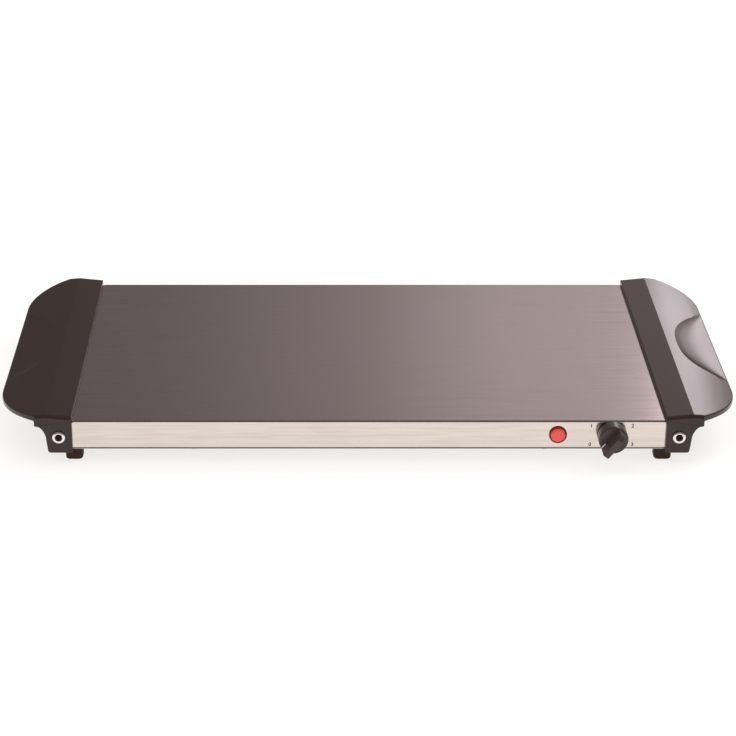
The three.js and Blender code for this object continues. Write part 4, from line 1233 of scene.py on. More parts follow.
    def section(self, along: float) -> list[Point2]:
        """Closed section of the handle at a distance along it.

        Args:
            along: distance from the outer face of the front cheek.

        Returns:
            Points of run and height, the same number at every place.
        """
        from_end = min(along, self.length() - along)
        from_middle = along - self.length() / 2
        edge = self.wing_edge(from_end)
        dip = max(self.rounding - from_end, 0.0)
        lowered = self.rounding - math.sqrt(self.rounding**2 - dip**2)
        rim_start = edge - self.rim_radius
        first = self.crease_run + self.after_crease[1]
        scoop = min(self.scoop_edge(from_middle), rim_start - self.scoop_wall - self.crease_gap)
        scoop = max(scoop, self.crease_run + self.crease_gap)
        foot = scoop + self.scoop_wall
        wing = [self.crease_run + self.after_crease[0], first]
        wing += [first + s * (scoop - first) for s in self.even_shares[:-1]]
        wing += [scoop + s * self.scoop_wall for s in self.wall_shares]
        wing += [foot + s * (rim_start - foot) for s in self.bowl_shares]
        rim_top = self.top(rim_start, from_middle) - lowered
        rim_low = rim_top - self.rim
        over = edge - self.root_run
        low_radius = self.rim_low_radius * min(over / self.steady_over, 1.0)
        root_low = self.rounding + self.root_step - self.cove_top - lowered
        wall_top = (0.0, self.lip_wall)
        round_end = (self.lip_round, self.lip_wall + self.lip_round)
        lip = [(0.0, self.lip_rise), *bezier(wall_top, (0.0, round_end[1]), round_end, self.lip_steps)]
        band = [self.lip_round + s * (self.crease_run - self.lip_round) for s in self.band_shares]
        slope = (self.crease_rise - round_end[1]) / (self.crease_run - self.lip_round)
        points = [(x, z - lowered) for x, z in lip]
        points += [(x, round_end[1] + slope * (x - self.lip_round) - lowered) for x in band]
        points.append((self.crease_run, self.crease_rise - lowered))
        points += [(x, self.top(x, from_middle) - lowered) for x in wing]
        r = self.rim_radius
        points += arc((edge - r, rim_top - r), r, self.rim_angle, 0, self.rim_steps)
        if low_radius > self.thinnest:
            low_rim = (edge - low_radius, rim_low + low_radius)
            points += arc(low_rim, low_radius, 0, -90, self.low_rim_steps)
        else:
            count = self.low_rim_steps + 1
            points += [(edge, rim_low + self.thinnest * (count - i)) for i in range(count)]
        under = edge - low_radius - self.root_run
        for s in self.even_shares:
            points.append((self.root_run + under * (1 - s), rim_low + (root_low - rim_low) * s))
        points.append((self.root_run, -self.cove_top))
        points += self.cove()
        heel = (self.end_wall_run - self.cheek_corner, self.cheek_corner - self.cheek_drop)
        points += arc(heel, self.cheek_corner, 0, -90, self.heel_steps)
        points.append((0.0, -self.cheek_drop))
        return points

    def drawn_in(self, points: Sequence[Point2], amount: float) -> list[Point2]:
        """Shrink a closed section by moving each point in along its own normal.

        Args:
            points: the section, clockwise.
            amount: how far each point moves.

        Returns:
            The smaller section.
        """
        if amount <= 0:
            return list(points)
        small = []
        count = len(points)
        for i, (x, z) in enumerate(points):
            here = Vector((x, z))
            runs = (here - Vector(points[i - 1]), Vector(points[(i + 1) % count]) - here)
            first, last = (run.normalized() if run.length > NO_LENGTH else Vector((0, 0)) for run in runs)
            way = first + last
            if way.length < NO_LENGTH:
                small.append((x, z))
                continue
            way.normalize()
            inward = Vector((way.y, -way.x))
            small.append((x + inward.x * amount, z + inward.y * amount))
        return small

    def stations(self) -> list[float]:
        """List where along the handle its section is drawn.

        Returns:
            Distances from the outer face of the front cheek, in order.
        """
        half = self.length() / 2
        run = self.corner_length() - self.corner_inset
        ends = list(self.end_places)
        ends += [self.corner_inset + s * run for s in (*self.near_corner_shares, *self.far_corner_shares)]
        ends += [half - self.scoop_half - before for before in self.before_scoop]
        ends += [half - s * self.scoop_half for s in (*self.far_scoop_shares, *self.near_scoop_shares)]
        first = sorted(set(ends))
        return [*first, half, *[self.length() - a for a in reversed(first)]]

    def hollow(self) -> bmesh.types.BMesh:
        """Draw the space below the band, open to the tray and downwards.

        Returns:
            The mesh that is cut out.
        """
        inner = self.end_wall_run - self.wall
        root = self.root_run - self.wall
        ceiling = self.wall - self.cove_top
        low = -self.cheek_drop - self.open_run
        outline = [
            (-self.open_run, -self.open_drop),
            (self.lip_run / 4, -self.open_drop),
            (self.lip_run, self.lip_crest - self.band_wall),
            (self.crease_run, self.crease_rise - self.band_wall),
            (root, self.crown(root) - self.band_wall),
            *bezier((root, ceiling), (inner, ceiling), (inner, -self.cove_foot), self.hollow_steps),
            (inner, low),
            (-self.open_run, low),
        ]
        inset = self.proud - self.open_drop
        return prism(outline, "y", inset, self.length() - inset)

    def build(self, side: str) -> None:
        """Make one handle and dress it.

        Args:
            side: right or left.
        """
        at = self.places
        sections = []
        for along in self.stations():
            from_end = min(along, self.length() - along)
            short = max(self.edge_radius - from_end, 0.0)
            amount = self.edge_radius - math.sqrt(self.edge_radius**2 - short**2)
            outline = self.drawn_in(self.section(along), amount)
            sections.append([(run, along, height) for run, height in outline])
        run = at.screw_x - at.plate_end
        ends = [(run, y, -at.screw_drop) for y in (-self.open_run, self.length() + self.open_run)]
        hole = rod(self.screw_hole, *ends, self.hole_faces)
        sign = 1 if side == "right" else -1
        corner = Matrix.Translation((sign * at.plate_end, at.front - self.proud, at.plate_top))
        place = corner @ Matrix.Diagonal((sign, 1, 1, 1))
        piece = to_object(f"{side}_handle_moulding", placed(lofted(sections), place), self.crease_angle)
        tools = [to_object("tool", placed(form, place)) for form in (self.hollow(), hole)]
        carve(piece, tools, self.crease_angle)
        self.dress(piece, "handle_plastic", [f"{side}_handle"])


@dataclass
class HandleScrews(SubAssembly):
    """Cup washers and the screws in them, two at each end of the tray."""

    washer: float = 5.5
    height: float = 1.9
    roll: float = 0.75
    seat_inset: float = 0.2
    floor: float = 0.8
    bore: float = 2.05
    well: float = 3.05
    well_wall: Point2 = (0.15, 0.4)
    # Rolled brim round the well: distance out from the well's wall, and drop below the top.
    brim: tuple[Point2, ...] = ((1.2, 0.12), (0.7, 0.0), (0.3, 0.05))
    head: float = 2.75
    head_height: float = 1.5
    # The head's round: share of its radius, and drop below its top.
    crown: tuple[Point2, ...] = ((0.0, 0.0), (0.45, 0.03), (0.72, 0.18), (0.92, 0.55), (1.0, 0.9))
    shank: float = 1.75
    screw_length: float = 10.1
    thread_pitch: float = 0.7
    thread_depth: float = 0.28
    thread_start: float = 0.6
    tip_drop: float = 0.5
    # Length, width and depth of the cross recess.
    cross: Point3 = (3.4, 0.9, 0.9)
    proud: float = 3.3
    roll_angle: float = 60.0
    roll_steps: int = 8
    washer_faces: int = 64
    screw_faces: int = 40

    def washer_form(self) -> bmesh.types.BMesh:
        """Turn a rolled cup washer, its seat at height 0.

        Returns:
            The washer's mesh.
        """
        shift, drop = self.well_wall
        angle = self.roll_angle
        profile = [
            (self.bore, 0.0),
            (self.washer - self.seat_inset, 0.0),
            *arc((self.washer - self.roll, self.roll), self.roll, -angle, angle, self.roll_steps),
            *[(self.well + out, self.height - down) for out, down in self.brim],
            (self.well, self.height - drop),
            (self.well - shift, self.floor),
            (self.bore, self.floor),
        ]
        return turned(profile, self.washer_faces, closed=True)

    def screw_form(self) -> bmesh.types.BMesh:
        """Turn a pan-head screw with its head's seat at height 0.

        Returns:
            The screw's mesh.
        """
        profile = [(self.head * share, self.head_height - drop) for share, drop in self.crown]
        profile += [(self.head, 0.0), (self.shank, 0.0)]
        for i in range(int((self.screw_length - 2 * self.thread_start) / self.thread_pitch)):
            start = -self.thread_start - i * self.thread_pitch
            profile.append((self.shank, start))
            profile.append((self.shank - self.thread_depth, start - self.thread_pitch / 2))
        profile += [(self.shank - self.tip_drop, -self.screw_length), (0, -self.screw_length)]
        return turned(profile, self.screw_faces)

    def build(self) -> None:
        """Make the washers and screws and dress them."""
        at = self.places
        ends = [f"{end}_{side}_handle" for end in ("front", "rear") for side in ("left", "right")]
        reach = at.depth() + 2 * self.proud
        level = at.plate_top - at.screw_drop
        cup = to_object("handle_cup_washers", placed(self.washer_form(), OUT_OF_PANEL))
        names = [f"{end}_washer" for end in ends]
        self.at_corners(cup, (2 * at.screw_x, reach), level, "washer_chrome", names, turn=180)
        screw = to_object("handle_screws", placed(self.screw_form(), OUT_OF_PANEL))
        length, width, depth = self.cross
        top = self.head_height
        tools = []
        for half, thin in ((length / 2, width / 2), (width / 2, length / 2)):
            outline = [(-half, -thin), (half, -thin), (half, thin), (-half, thin)]
            tools.append(to_object("tool", placed(prism(outline, "z", top - depth, top + 1), OUT_OF_PANEL)))
        carve(screw, tools, MOULDED_CREASE)
        seat = reach + 2 * (self.floor + at.gap)
        names = [f"{end}_screw" for end in ends]
        self.at_corners(screw, (2 * at.screw_x, seat), level, "dark_screw", names, turn=180)


@dataclass
class Feet(SubAssembly):
    """Rubber feet with their screws, and the screws of the base plate."""

    height: float = 13.1
    half_width: float = 7.4
    corner: float = 4.0
    edge: float = 1.8
    # The foot's upper end: inset, and drop below its top.
    neck: tuple[Point2, ...] = ((0.0, 3.0), (0.12, 2.6), (0.12, 0.2), (0.3, 0.0))
    well: float = 3.6
    well_depth: float = 4.5
    bore: float = 2.1
    inset: float = 14.5
    # Head radius, head height and shank radius of each kind of screw.
    foot_screw: Point3 = (3.3, 2.4, 1.8)
    screw_top: float = 19.3
    base_screw: Point3 = (2.9, 1.3, 1.45)
    base_spread: float = 150.0
    base_inset: float = 5.5
    base_length: float = 7.0
    # The head's round: share of its radius, and share of its height.
    crown: tuple[Point2, ...] = ((0.0, 1.0), (0.5, 1.0), (0.8, 0.9), (1.0, 0.45), (1.0, 0.0))
    thread_pitch: float = 0.8
    thread_depth: float = 0.25
    thread_start: float = 0.4
    tip_inset: float = 0.4
    corner_steps: int = 10
    edge_steps: int = 6
    well_faces: int = 40
    bore_faces: int = 32
    screw_faces: int = 32

    def outline(self, inset: float) -> list[Point2]:
        """Outline of a foot from below.

        Args:
            inset: how far it is drawn in, evenly.

        Returns:
            Points of X and Y about the foot's centre.
        """
        middle = self.half_width - self.corner
        points = []
        for x, y, first in ((1, 1, 0), (-1, 1, 90), (-1, -1, 180), (1, -1, 270)):
            centre = (x * middle, y * middle)
            points += arc(centre, self.corner - inset, first, first + 90, self.corner_steps)
        return points

    def foot(self) -> bpy.types.Object:
        """Make a square rubber foot with rounded corners and a screw well.

        Returns:
            The foot, about its own centre.
        """
        edge = arc((0, self.edge), self.edge, -90, 0, self.edge_steps)
        levels = [(self.edge - u, z) for u, z in edge]
        levels += [(inset, self.height - drop) for inset, drop in self.neck]
        block = lofted([[(x, y, z) for x, y in self.outline(inset)] for inset, z in levels])
        piece = to_object("rubber_feet", block, MOULDED_CREASE)
        tools = []
        for radius, start, end, faces in (
            (self.well, -1, self.well_depth, self.well_faces),
            (self.bore, 1, self.height + 1, self.bore_faces),
        ):
            form = turned([(0, start), (radius, start), (radius, end), (0, end)], faces)
            tools.append(to_object("tool", form))
        return carve(piece, tools, MOULDED_CREASE)

    def screw_form(self, sizes: Point3, length: float) -> bmesh.types.BMesh:
        """Turn a pan-head screw, head down, with its seat at height 0.

        Args:
            sizes: head radius, head height and shank radius.
            length: shank length.

        Returns:
            The screw's mesh.
        """
        head, head_height, shank = sizes
        profile = [(head * out, -head_height * down) for out, down in self.crown]
        profile.append((shank, 0.0))
        for i in range(int((length - 1) / self.thread_pitch)):
            start = self.thread_start + i * self.thread_pitch
            profile.append((shank, start))
            profile.append((shank - self.thread_depth, start + self.thread_pitch / 2))
        profile += [(shank - self.tip_inset, length), (0, length)]
        return turned(profile, self.screw_faces)

    def build(self) -> None:
        """Make the feet and the screws below the tray and dress them."""
        at = self.places
        corners = ("front_left", "front_right", "rear_left", "rear_right")
        spread = (2 * at.plate_end, at.depth() - 2 * self.inset)
        self.at_corners(self.foot(), spread, 0.0, "foot_rubber", [f"{c}_foot" for c in corners])
        seat = self.well_depth - at.gap
        screws = to_object("foot_screws", self.screw_form(self.foot_screw, self.screw_top - seat))
        self.at_corners(screws, spread, seat, "dark_screw", [f"{c}_foot_screw" for c in corners])
        screws = to_object("base_screws", self.screw_form(self.base_screw, self.base_length))
        spread = (2 * self.base_spread, at.depth() - 2 * self.base_inset)
        names = [f"{c}_base_screw" for c in corners]
        self.at_corners(screws, spread, self.height, "plated_steel", names)


@dataclass
class BasePlate(SubAssembly):
    """Stiffening ribs pressed into the base plate."""

    level: float = 13.4
    rib_half_length: float = 105.0
    rib_half_width: float = 4.0
    rib_height: float = 0.9
    rib_count: int = 5
    rib_pitch: float = 48.0
    rib_end_steps: int = 12
    # A rib's round: share of its half width, and share of its height.
    rib_round: tuple[Point2, ...] = (
        (1.0, -0.2),
        (1.0, 0.0),
        (0.86, 0.35),
        (0.62, 0.75),
        (0.4, 0.95),
        (0.15, 1.0),
    )

    def rib_form(self) -> bmesh.types.BMesh:
        """Shape one pressed rib with round ends, hanging below height 0.

        Returns:
            The rib's mesh.
        """
        flat = self.rib_half_length - self.rib_half_width
        rings = []
        for share, drop in self.rib_round:
            half = self.rib_half_width * share
            right = arc((flat, 0), half, -90, 90, self.rib_end_steps)
            left = arc((-flat, 0), half, 90, 270, self.rib_end_steps)
            rings.append([(x, y, -self.rib_height * drop) for x, y in (*right, *left)])
        return lofted(rings)

    def build(self, packed: dict[str, bpy.types.Object]) -> None:
        """Dress the base plate and add its ribs.

        Args:
            packed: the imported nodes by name.
        """
        self.keep(packed, "plated_steel", "base_plate")
        ribs = to_object("base_plate_ribs", self.rib_form(), SOFT_CREASE)
        first = self.places.centre() - self.rib_pitch * (self.rib_count - 1) / 2
        values = {
            "Count": self.rib_count,
            "Pitch": self.rib_pitch * MM,
            "First place": (0.0, first * MM, self.level * MM),
            "Finish": self.materials["plated_steel"],
        }
        Pattern.apply(ribs, self.trees["row"], values)
        self.dress(ribs, "plated_steel")


@dataclass
class Knob(SubAssembly):
    """The control knob and the plain numbers round it."""

    radius: float = 12.65
    standoff: float = 1.0
    drum: float = 11.7
    edge: float = 1.8
    face_inset: float = 1.5
    back_chamfer: float = 0.3
    rim: float = 1.85
    recess: float = 8.0
    hub: float = 4.8
    bore_depth: float = 9.4
    spindle: float = 3.3
    flat: float = 2.5
    grip_height: float = 12.0
    grip_width: float = 5.7
    grip_root: float = 1.5
    grip_chamfer: float = 0.8
    grip_round: float = 0.7
    pointer: float = 12.8
    tail_start: float = 3.0
    tail: float = 11.2
    tail_height: float = 3.5
    # The white line beside the grip bar is a painted highlight, the glint along the grip's left foot, not a
    # pointer mark.
    line_gap: float = 1.0
    line_run: Point2 = (-6.6, -11.2)
    line_widths: Point2 = (0.42, 0.25)
    line_proud: float = 0.04
    line_sunk: float = 0.15
    line_steps: int = 14
    drum_faces: int = 128
    edge_steps: int = 12
    tail_steps: int = 14
    grip_round_steps: int = 4
    grip_round_angle: float = 30.0
    bore_faces: int = 48
    rest_angle: float = 38.0
    figure_size: float = 4.554
    figure_weight: float = 0.11
    figure_half: float = 0.02
    figure_proud: float = 0.03
    figures: tuple[tuple[str, float, float], ...] = (
        ("0", -18.6, -9.3),
        ("1", -18.0, 8.0),
        ("2", 17.2, 8.0),
        ("3", 17.6, -9.3),
    )

    def face(self) -> float:
        """Height of the drum's front above the panel."""
        return self.standoff + self.drum

    def drum_form(self) -> bmesh.types.BMesh:
        """Turn the round drum with its hub, height 0 at the panel.

        Returns:
            The drum's mesh.
        """
        back = self.standoff
        ledge = back + self.recess
        r = self.radius
        profile = [
            (0, self.face()),
            (r - self.edge - self.face_inset, self.face()),
            *arc((r - self.edge, self.face() - self.edge), self.edge, 90, 0, self.edge_steps),
            (r, back + self.back_chamfer),
            (r - self.back_chamfer, back),
            (r - self.rim, back),
            (r - self.rim, ledge),
            (self.hub, ledge),
            (self.hub, back),
            (0, back),
        ]
        return turned(profile, self.drum_faces)

    def grip_outline(self) -> list[Point2]:
        """Outline the grip bar from its side.

        Returns:
            Points of the place along it and the height above the panel.
        """
        tip = self.face() + self.grip_height
        root = self.face() - self.grip_root
        end = (self.tail, self.face() + self.tail_height)
        tail = bezier((self.tail_start, tip), (self.tail, tip), end, self.tail_steps)
        nose = [
            (-self.pointer, root),
            (-self.pointer, tip - self.grip_chamfer),
            (-self.pointer + self.grip_chamfer, tip),
        ]
        return [*nose, *tail, (self.tail, root)]

    def level(self, x: float, y: float) -> float:
        """Find how high the drum's front is at a place on it.

        Args:
            x: place across the grip bar.
            y: place along the grip bar.

        Returns:
            The height above the panel.
        """
        past = math.hypot(x, y) - (self.radius - self.edge)
        if past <= 0:
            return self.face()
        return self.face() - self.edge + math.sqrt(max(self.edge**2 - past**2, 0.0))

    def painted_glint_form(self) -> bmesh.types.BMesh:
        """Lay the white line beside the grip bar, over the drum's rounded edge: a painted highlight of the
        glint along the grip's foot.

        Returns:
            The line's mesh.
        """
        middle = self.grip_width / 2 + self.line_gap
        first, last = self.line_run
        wide, narrow = self.line_widths
        rows = []
        for i in range(self.line_steps + 1):
            y = first + (last - first) * i / self.line_steps
            width = narrow if i in (0, self.line_steps) else wide
            sides = [(-middle - width, y), (-middle + width, y)]
            top = [(u, v, self.level(u, v) + self.line_proud) for u, v in sides]
            low = [(u, v, self.level(u, v) - self.line_sunk) for u, v in reversed(sides)]
            rows.append([*top, *low])
        return lofted(rows)

    def build(self) -> None:
        """Make the knob, its painted highlight line and the figures and dress them."""
        at = self.places
        # A positive turn about the knob's own +Y takes the pointer from straight down to the left.
        turn = Matrix.Rotation(math.radians(self.rest_angle), 4, "Y")
        place = Matrix.Translation((at.knob_x, at.front, at.panel_middle)) @ turn @ OUT_OF_PANEL
        half = self.grip_width / 2
        grip = to_object("grip", placed(prism(self.grip_outline(), "x", -half, half), place), MOULDED_CREASE)
        soft = grip.modifiers.new("rounded edges", "BEVEL")
        soft.width = self.grip_round * MM
        soft.segments = self.grip_round_steps
        soft.limit_method = "ANGLE"
        soft.angle_limit = math.radians(self.grip_round_angle)
        bake(grip)
        knob = to_object("control_knob_moulding", placed(self.drum_form(), place), MOULDED_CREASE)
        combine(knob, [grip], "UNION")
        # The bore is round but for the flat that the spindle's D shape needs.
        ring = arc((0, 0), self.spindle, 0, 360, self.bore_faces)[:-1]
        bore = [(x, min(y, self.flat)) for x, y in ring]
        depths = (self.standoff - 1, self.standoff + self.bore_depth)
        carve(knob, [to_object("tool", placed(prism(bore, "z", *depths), place))], MOULDED_CREASE)
        self.dress(knob, "knob_plastic", ["control_knob"], "knob")
        # The white line is a painted highlight: the glint along the grip's left foot.
        line = to_object("knob_painted_glint", placed(self.painted_glint_form(), place), SOFT_CREASE)
        self.dress(line, "painted_glint", body="knob", slot="knob_plastic")
        self.print_figures()

    def print_figures(self) -> None:
        """Print the plain numbers on the panel round the knob."""
        at = self.places
        forms = []
        for figure, x, z in self.figures:
            curve = bpy.data.curves.new("figure", "FONT")
            curve.body = figure
            curve.size = self.figure_size
            curve.extrude = self.figure_half
            curve.offset = self.figure_weight
            curve.align_x = "CENTER"
            curve.align_y = "CENTER"
            text = bpy.data.objects.new("figure", curve)
            bpy.context.scene.collection.objects.link(text)
            graph = bpy.context.evaluated_depsgraph_get()
            mesh = bpy.data.meshes.new_from_object(text.evaluated_get(graph))
            form = bmesh.new()
            form.from_mesh(mesh)
            spot = (at.knob_x + x, at.front - self.figure_proud, at.panel_middle + z)
            forms.append(placed(form, Matrix.Translation(spot) @ OUT_OF_PANEL))
            bpy.data.objects.remove(text)
            bpy.data.meshes.remove(mesh)
        printed = to_object("dial_figures", merged(forms), SOFT_CREASE)
        self.dress(printed, "dial_ink", slot="dark_screw")


@dataclass
class Lamp(SubAssembly):
    """The indicator lamp: bezel and faceted lens."""

    radius: float = 7.75
    height: float = 1.8
    # The bezel's brim: inset from its edge, and share of its height.
    brim: tuple[Point2, ...] = ((0.4, 0.8), (0.1, 0.5), (0.0, 0.2), (0.0, 0.0))
    tube: float = 6.7
    wall: float = 0.8
    tube_length: float = 8.0
    # The ledge that holds the lens: distance out from the tube, and share of the bezel's height.
    ledge: tuple[Point2, ...] = ((-0.15, 0.4), (0.05, 0.85), (0.2, 1.0))
    lens_rise: float = 3.4
    lens_depth: float = 6.5
    lens_wall: float = 1.2
    lens_play: float = 0.3
    lens_flange_inset: float = 0.35
    lens_flange: Point3 = (1.1, 1.12, 1.9)
    # Rows of facets: share of the flange's radius, share of the rise, and turn in facets.
    lens_rows: tuple[Point3, ...] = ((0.74, 0.88, 0.5), (0.4, 1.0, 0.0))
    lens_back: float = 0.2
    facets: int = 12
    bezel_faces: int = 96

    def bezel_form(self) -> bmesh.types.BMesh:
        """Turn the bezel ring and its tube, height 0 at the panel.

        Returns:
            The bezel's mesh.
        """
        bore = self.tube - self.wall
        gap = self.places.gap
        profile = [
            (bore, -self.tube_length),
            (bore, gap + self.height * self.ledge[0][1]),
            *[(self.tube + out, gap + self.height * share) for out, share in self.ledge],
            *[(self.radius - inset, gap + self.height * share) for inset, share in self.brim],
            (self.tube, gap),
            (self.tube, -self.tube_length),
        ]
        return turned(profile, self.bezel_faces, closed=True)

    def lens_form(self) -> bmesh.types.BMesh:
        """Shape the lens cap: two rows of flat facets round a small flat tip, hollow behind.

        Returns:
            The lens's mesh.
        """
        r = self.tube - self.wall - self.lens_play
        rise = self.lens_rise
        inner = r - self.lens_wall
        wide = self.tube - self.lens_flange_inset
        low, step, high = self.lens_flange
        rows = [(r, -self.lens_depth, 0.0), (r, low, 0.0), (wide, step, 0.0), (wide, high, 0.0)]
        rows += [(wide * share, rise * level, shift) for share, level, shift in self.lens_rows]
        form = bmesh.new()
        n = self.facets
        rings = []
        for radius, height, shift in rows:
            angles = [2 * math.pi * (i + shift) / n for i in range(n)]
            spots = [(radius * math.cos(a), radius * math.sin(a), height) for a in angles]
            rings.append([form.verts.new(spot) for spot in spots])
        flange, middle, tip = rings[3:]
        for i in range(n):
            j = (i + 1) % n
            for near, far in zip(rings[:3], rings[1:4]):
                form.faces.new((near[i], near[j], far[j], far[i]))
            form.faces.new((flange[i], flange[j], middle[i]))
            form.faces.new((flange[j], middle[j], middle[i]))
            form.faces.new((middle[i], middle[j], tip[j]))
            form.faces.new((middle[i], tip[j], tip[i]))
        form.faces.new(tip)
        roof = rise - self.lens_wall
        back = turned([(inner, -self.lens_depth), (inner, self.lens_back), (r / 2, roof), (0, roof)], n)
        bmesh.ops.reverse_faces(back, faces=back.faces)
        rim = turned([(r, -self.lens_depth), (inner, -self.lens_depth)], n)
        return merged([form, back, rim])

    def build(self, packed: dict[str, bpy.types.Object]) -> None:
        """Make the lamp's outer pieces and dress all of it.

        Args:
            packed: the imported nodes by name.
        """
        at = self.places
        place = Matrix.Translation((at.lamp_x, at.front, at.panel_middle)) @ OUT_OF_PANEL
        bezel = to_object("lamp_bezel", placed(self.bezel_form(), place), MOULDED_CREASE)
        self.dress(bezel, "bezel_plastic", ["indicator_bezel"])
        # The lens carries a painted glow of its own.
        lens = to_object("lamp_lens", placed(self.lens_form(), place), FACET_CREASE)
        self.dress(lens, "lens_red", ["indicator_lens"])
        self.keep(packed, "plated_steel", "lamp_clip")
        self.keep(packed, "bulb_glass", "neon_bulb")


@dataclass
class CordBush(SubAssembly):
    """The rubber bush in the back skirt."""

    bore: float = 3.6
    mouth: float = 0.5
    flange: float = 9.0
    flange_depth: float = 4.7
    flange_round: float = 1.8
    neck: float = 6.2
    lock: float = 7.4
    lock_depth: float = 4.0
    lock_edge: Point2 = (0.2, 0.8)
    round_steps: int = 8
    faces: int = 72

    def build(self) -> None:
        """Make the bush and dress it."""
        at = self.places
        out = at.gap + self.flange_depth
        inside = -at.sheet - at.gap
        shift, drop = self.lock_edge
        round_centre = (self.flange - self.flange_round, out - self.flange_round)
        profile = [
            (self.bore, out - self.mouth),
            (self.bore + self.mouth, out),
            *arc(round_centre, self.flange_round, 90, 0, self.round_steps),
            (self.flange, at.gap),
            (self.neck, at.gap),
            (self.neck, inside),
            (self.lock, inside),
            (self.lock - shift, inside - drop),
            (self.neck, inside - self.lock_depth),
            (self.bore, inside - self.lock_depth),
        ]
        turn = Matrix.Rotation(math.radians(-90), 4, "X")
        place = Matrix.Translation((at.bush_x, at.rear, at.panel_middle)) @ turn
        form = placed(turned(profile, self.faces, closed=True), place)
        bush = to_object("cord_bush_moulding", form, MOULDED_CREASE)
        self.dress(bush, "foot_rubber", ["cord_bush"])


@dataclass
class Works(SubAssembly):
    """Everything inside the tray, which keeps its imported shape."""

    finishes: dict[str, tuple[str, ...]] = field(
        default_factory=lambda: {
            "plated_steel": (
                "right_end_bracket",
                "left_end_bracket",
                "thermostat_frame",
                "left_thermostat_screw",
                "right_thermostat_screw",
                "pressure_plate",
                "front_left_stud_nut",
                "front_right_stud_nut",
                "rear_left_stud_nut",
                "rear_right_stud_nut",
                "fuse_clip",
            ),
            "contact_brass": ("thermostat_spindle", "adjusting_leaf", "stack_rivet"),
            "ceramic_body": (
                "push_pin",
                "front_stack_spacer",
                "middle_stack_spacer",
                "rear_stack_spacer",
                "thermal_fuse",
                "terminal_block",
            ),
            "heater_alloy": ("bimetal_strip", "heater_ribbon"),
            "mica_sheet": ("upper_mica", "lower_mica"),
            "insulation_fibre": ("insulation_mat",),
            "white_sleeve": ("live_lead", "load_lead", "heater_lead", "neutral_lead"),
            "green_sleeve": ("earth_lead",),
        }
    )

    def build(self, packed: dict[str, bpy.types.Object]) -> None:
        """Dress the inner pieces.

        Args:
            packed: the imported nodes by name.
        """
        for finish, names in self.finishes.items():
            self.keep(packed, finish, *names)


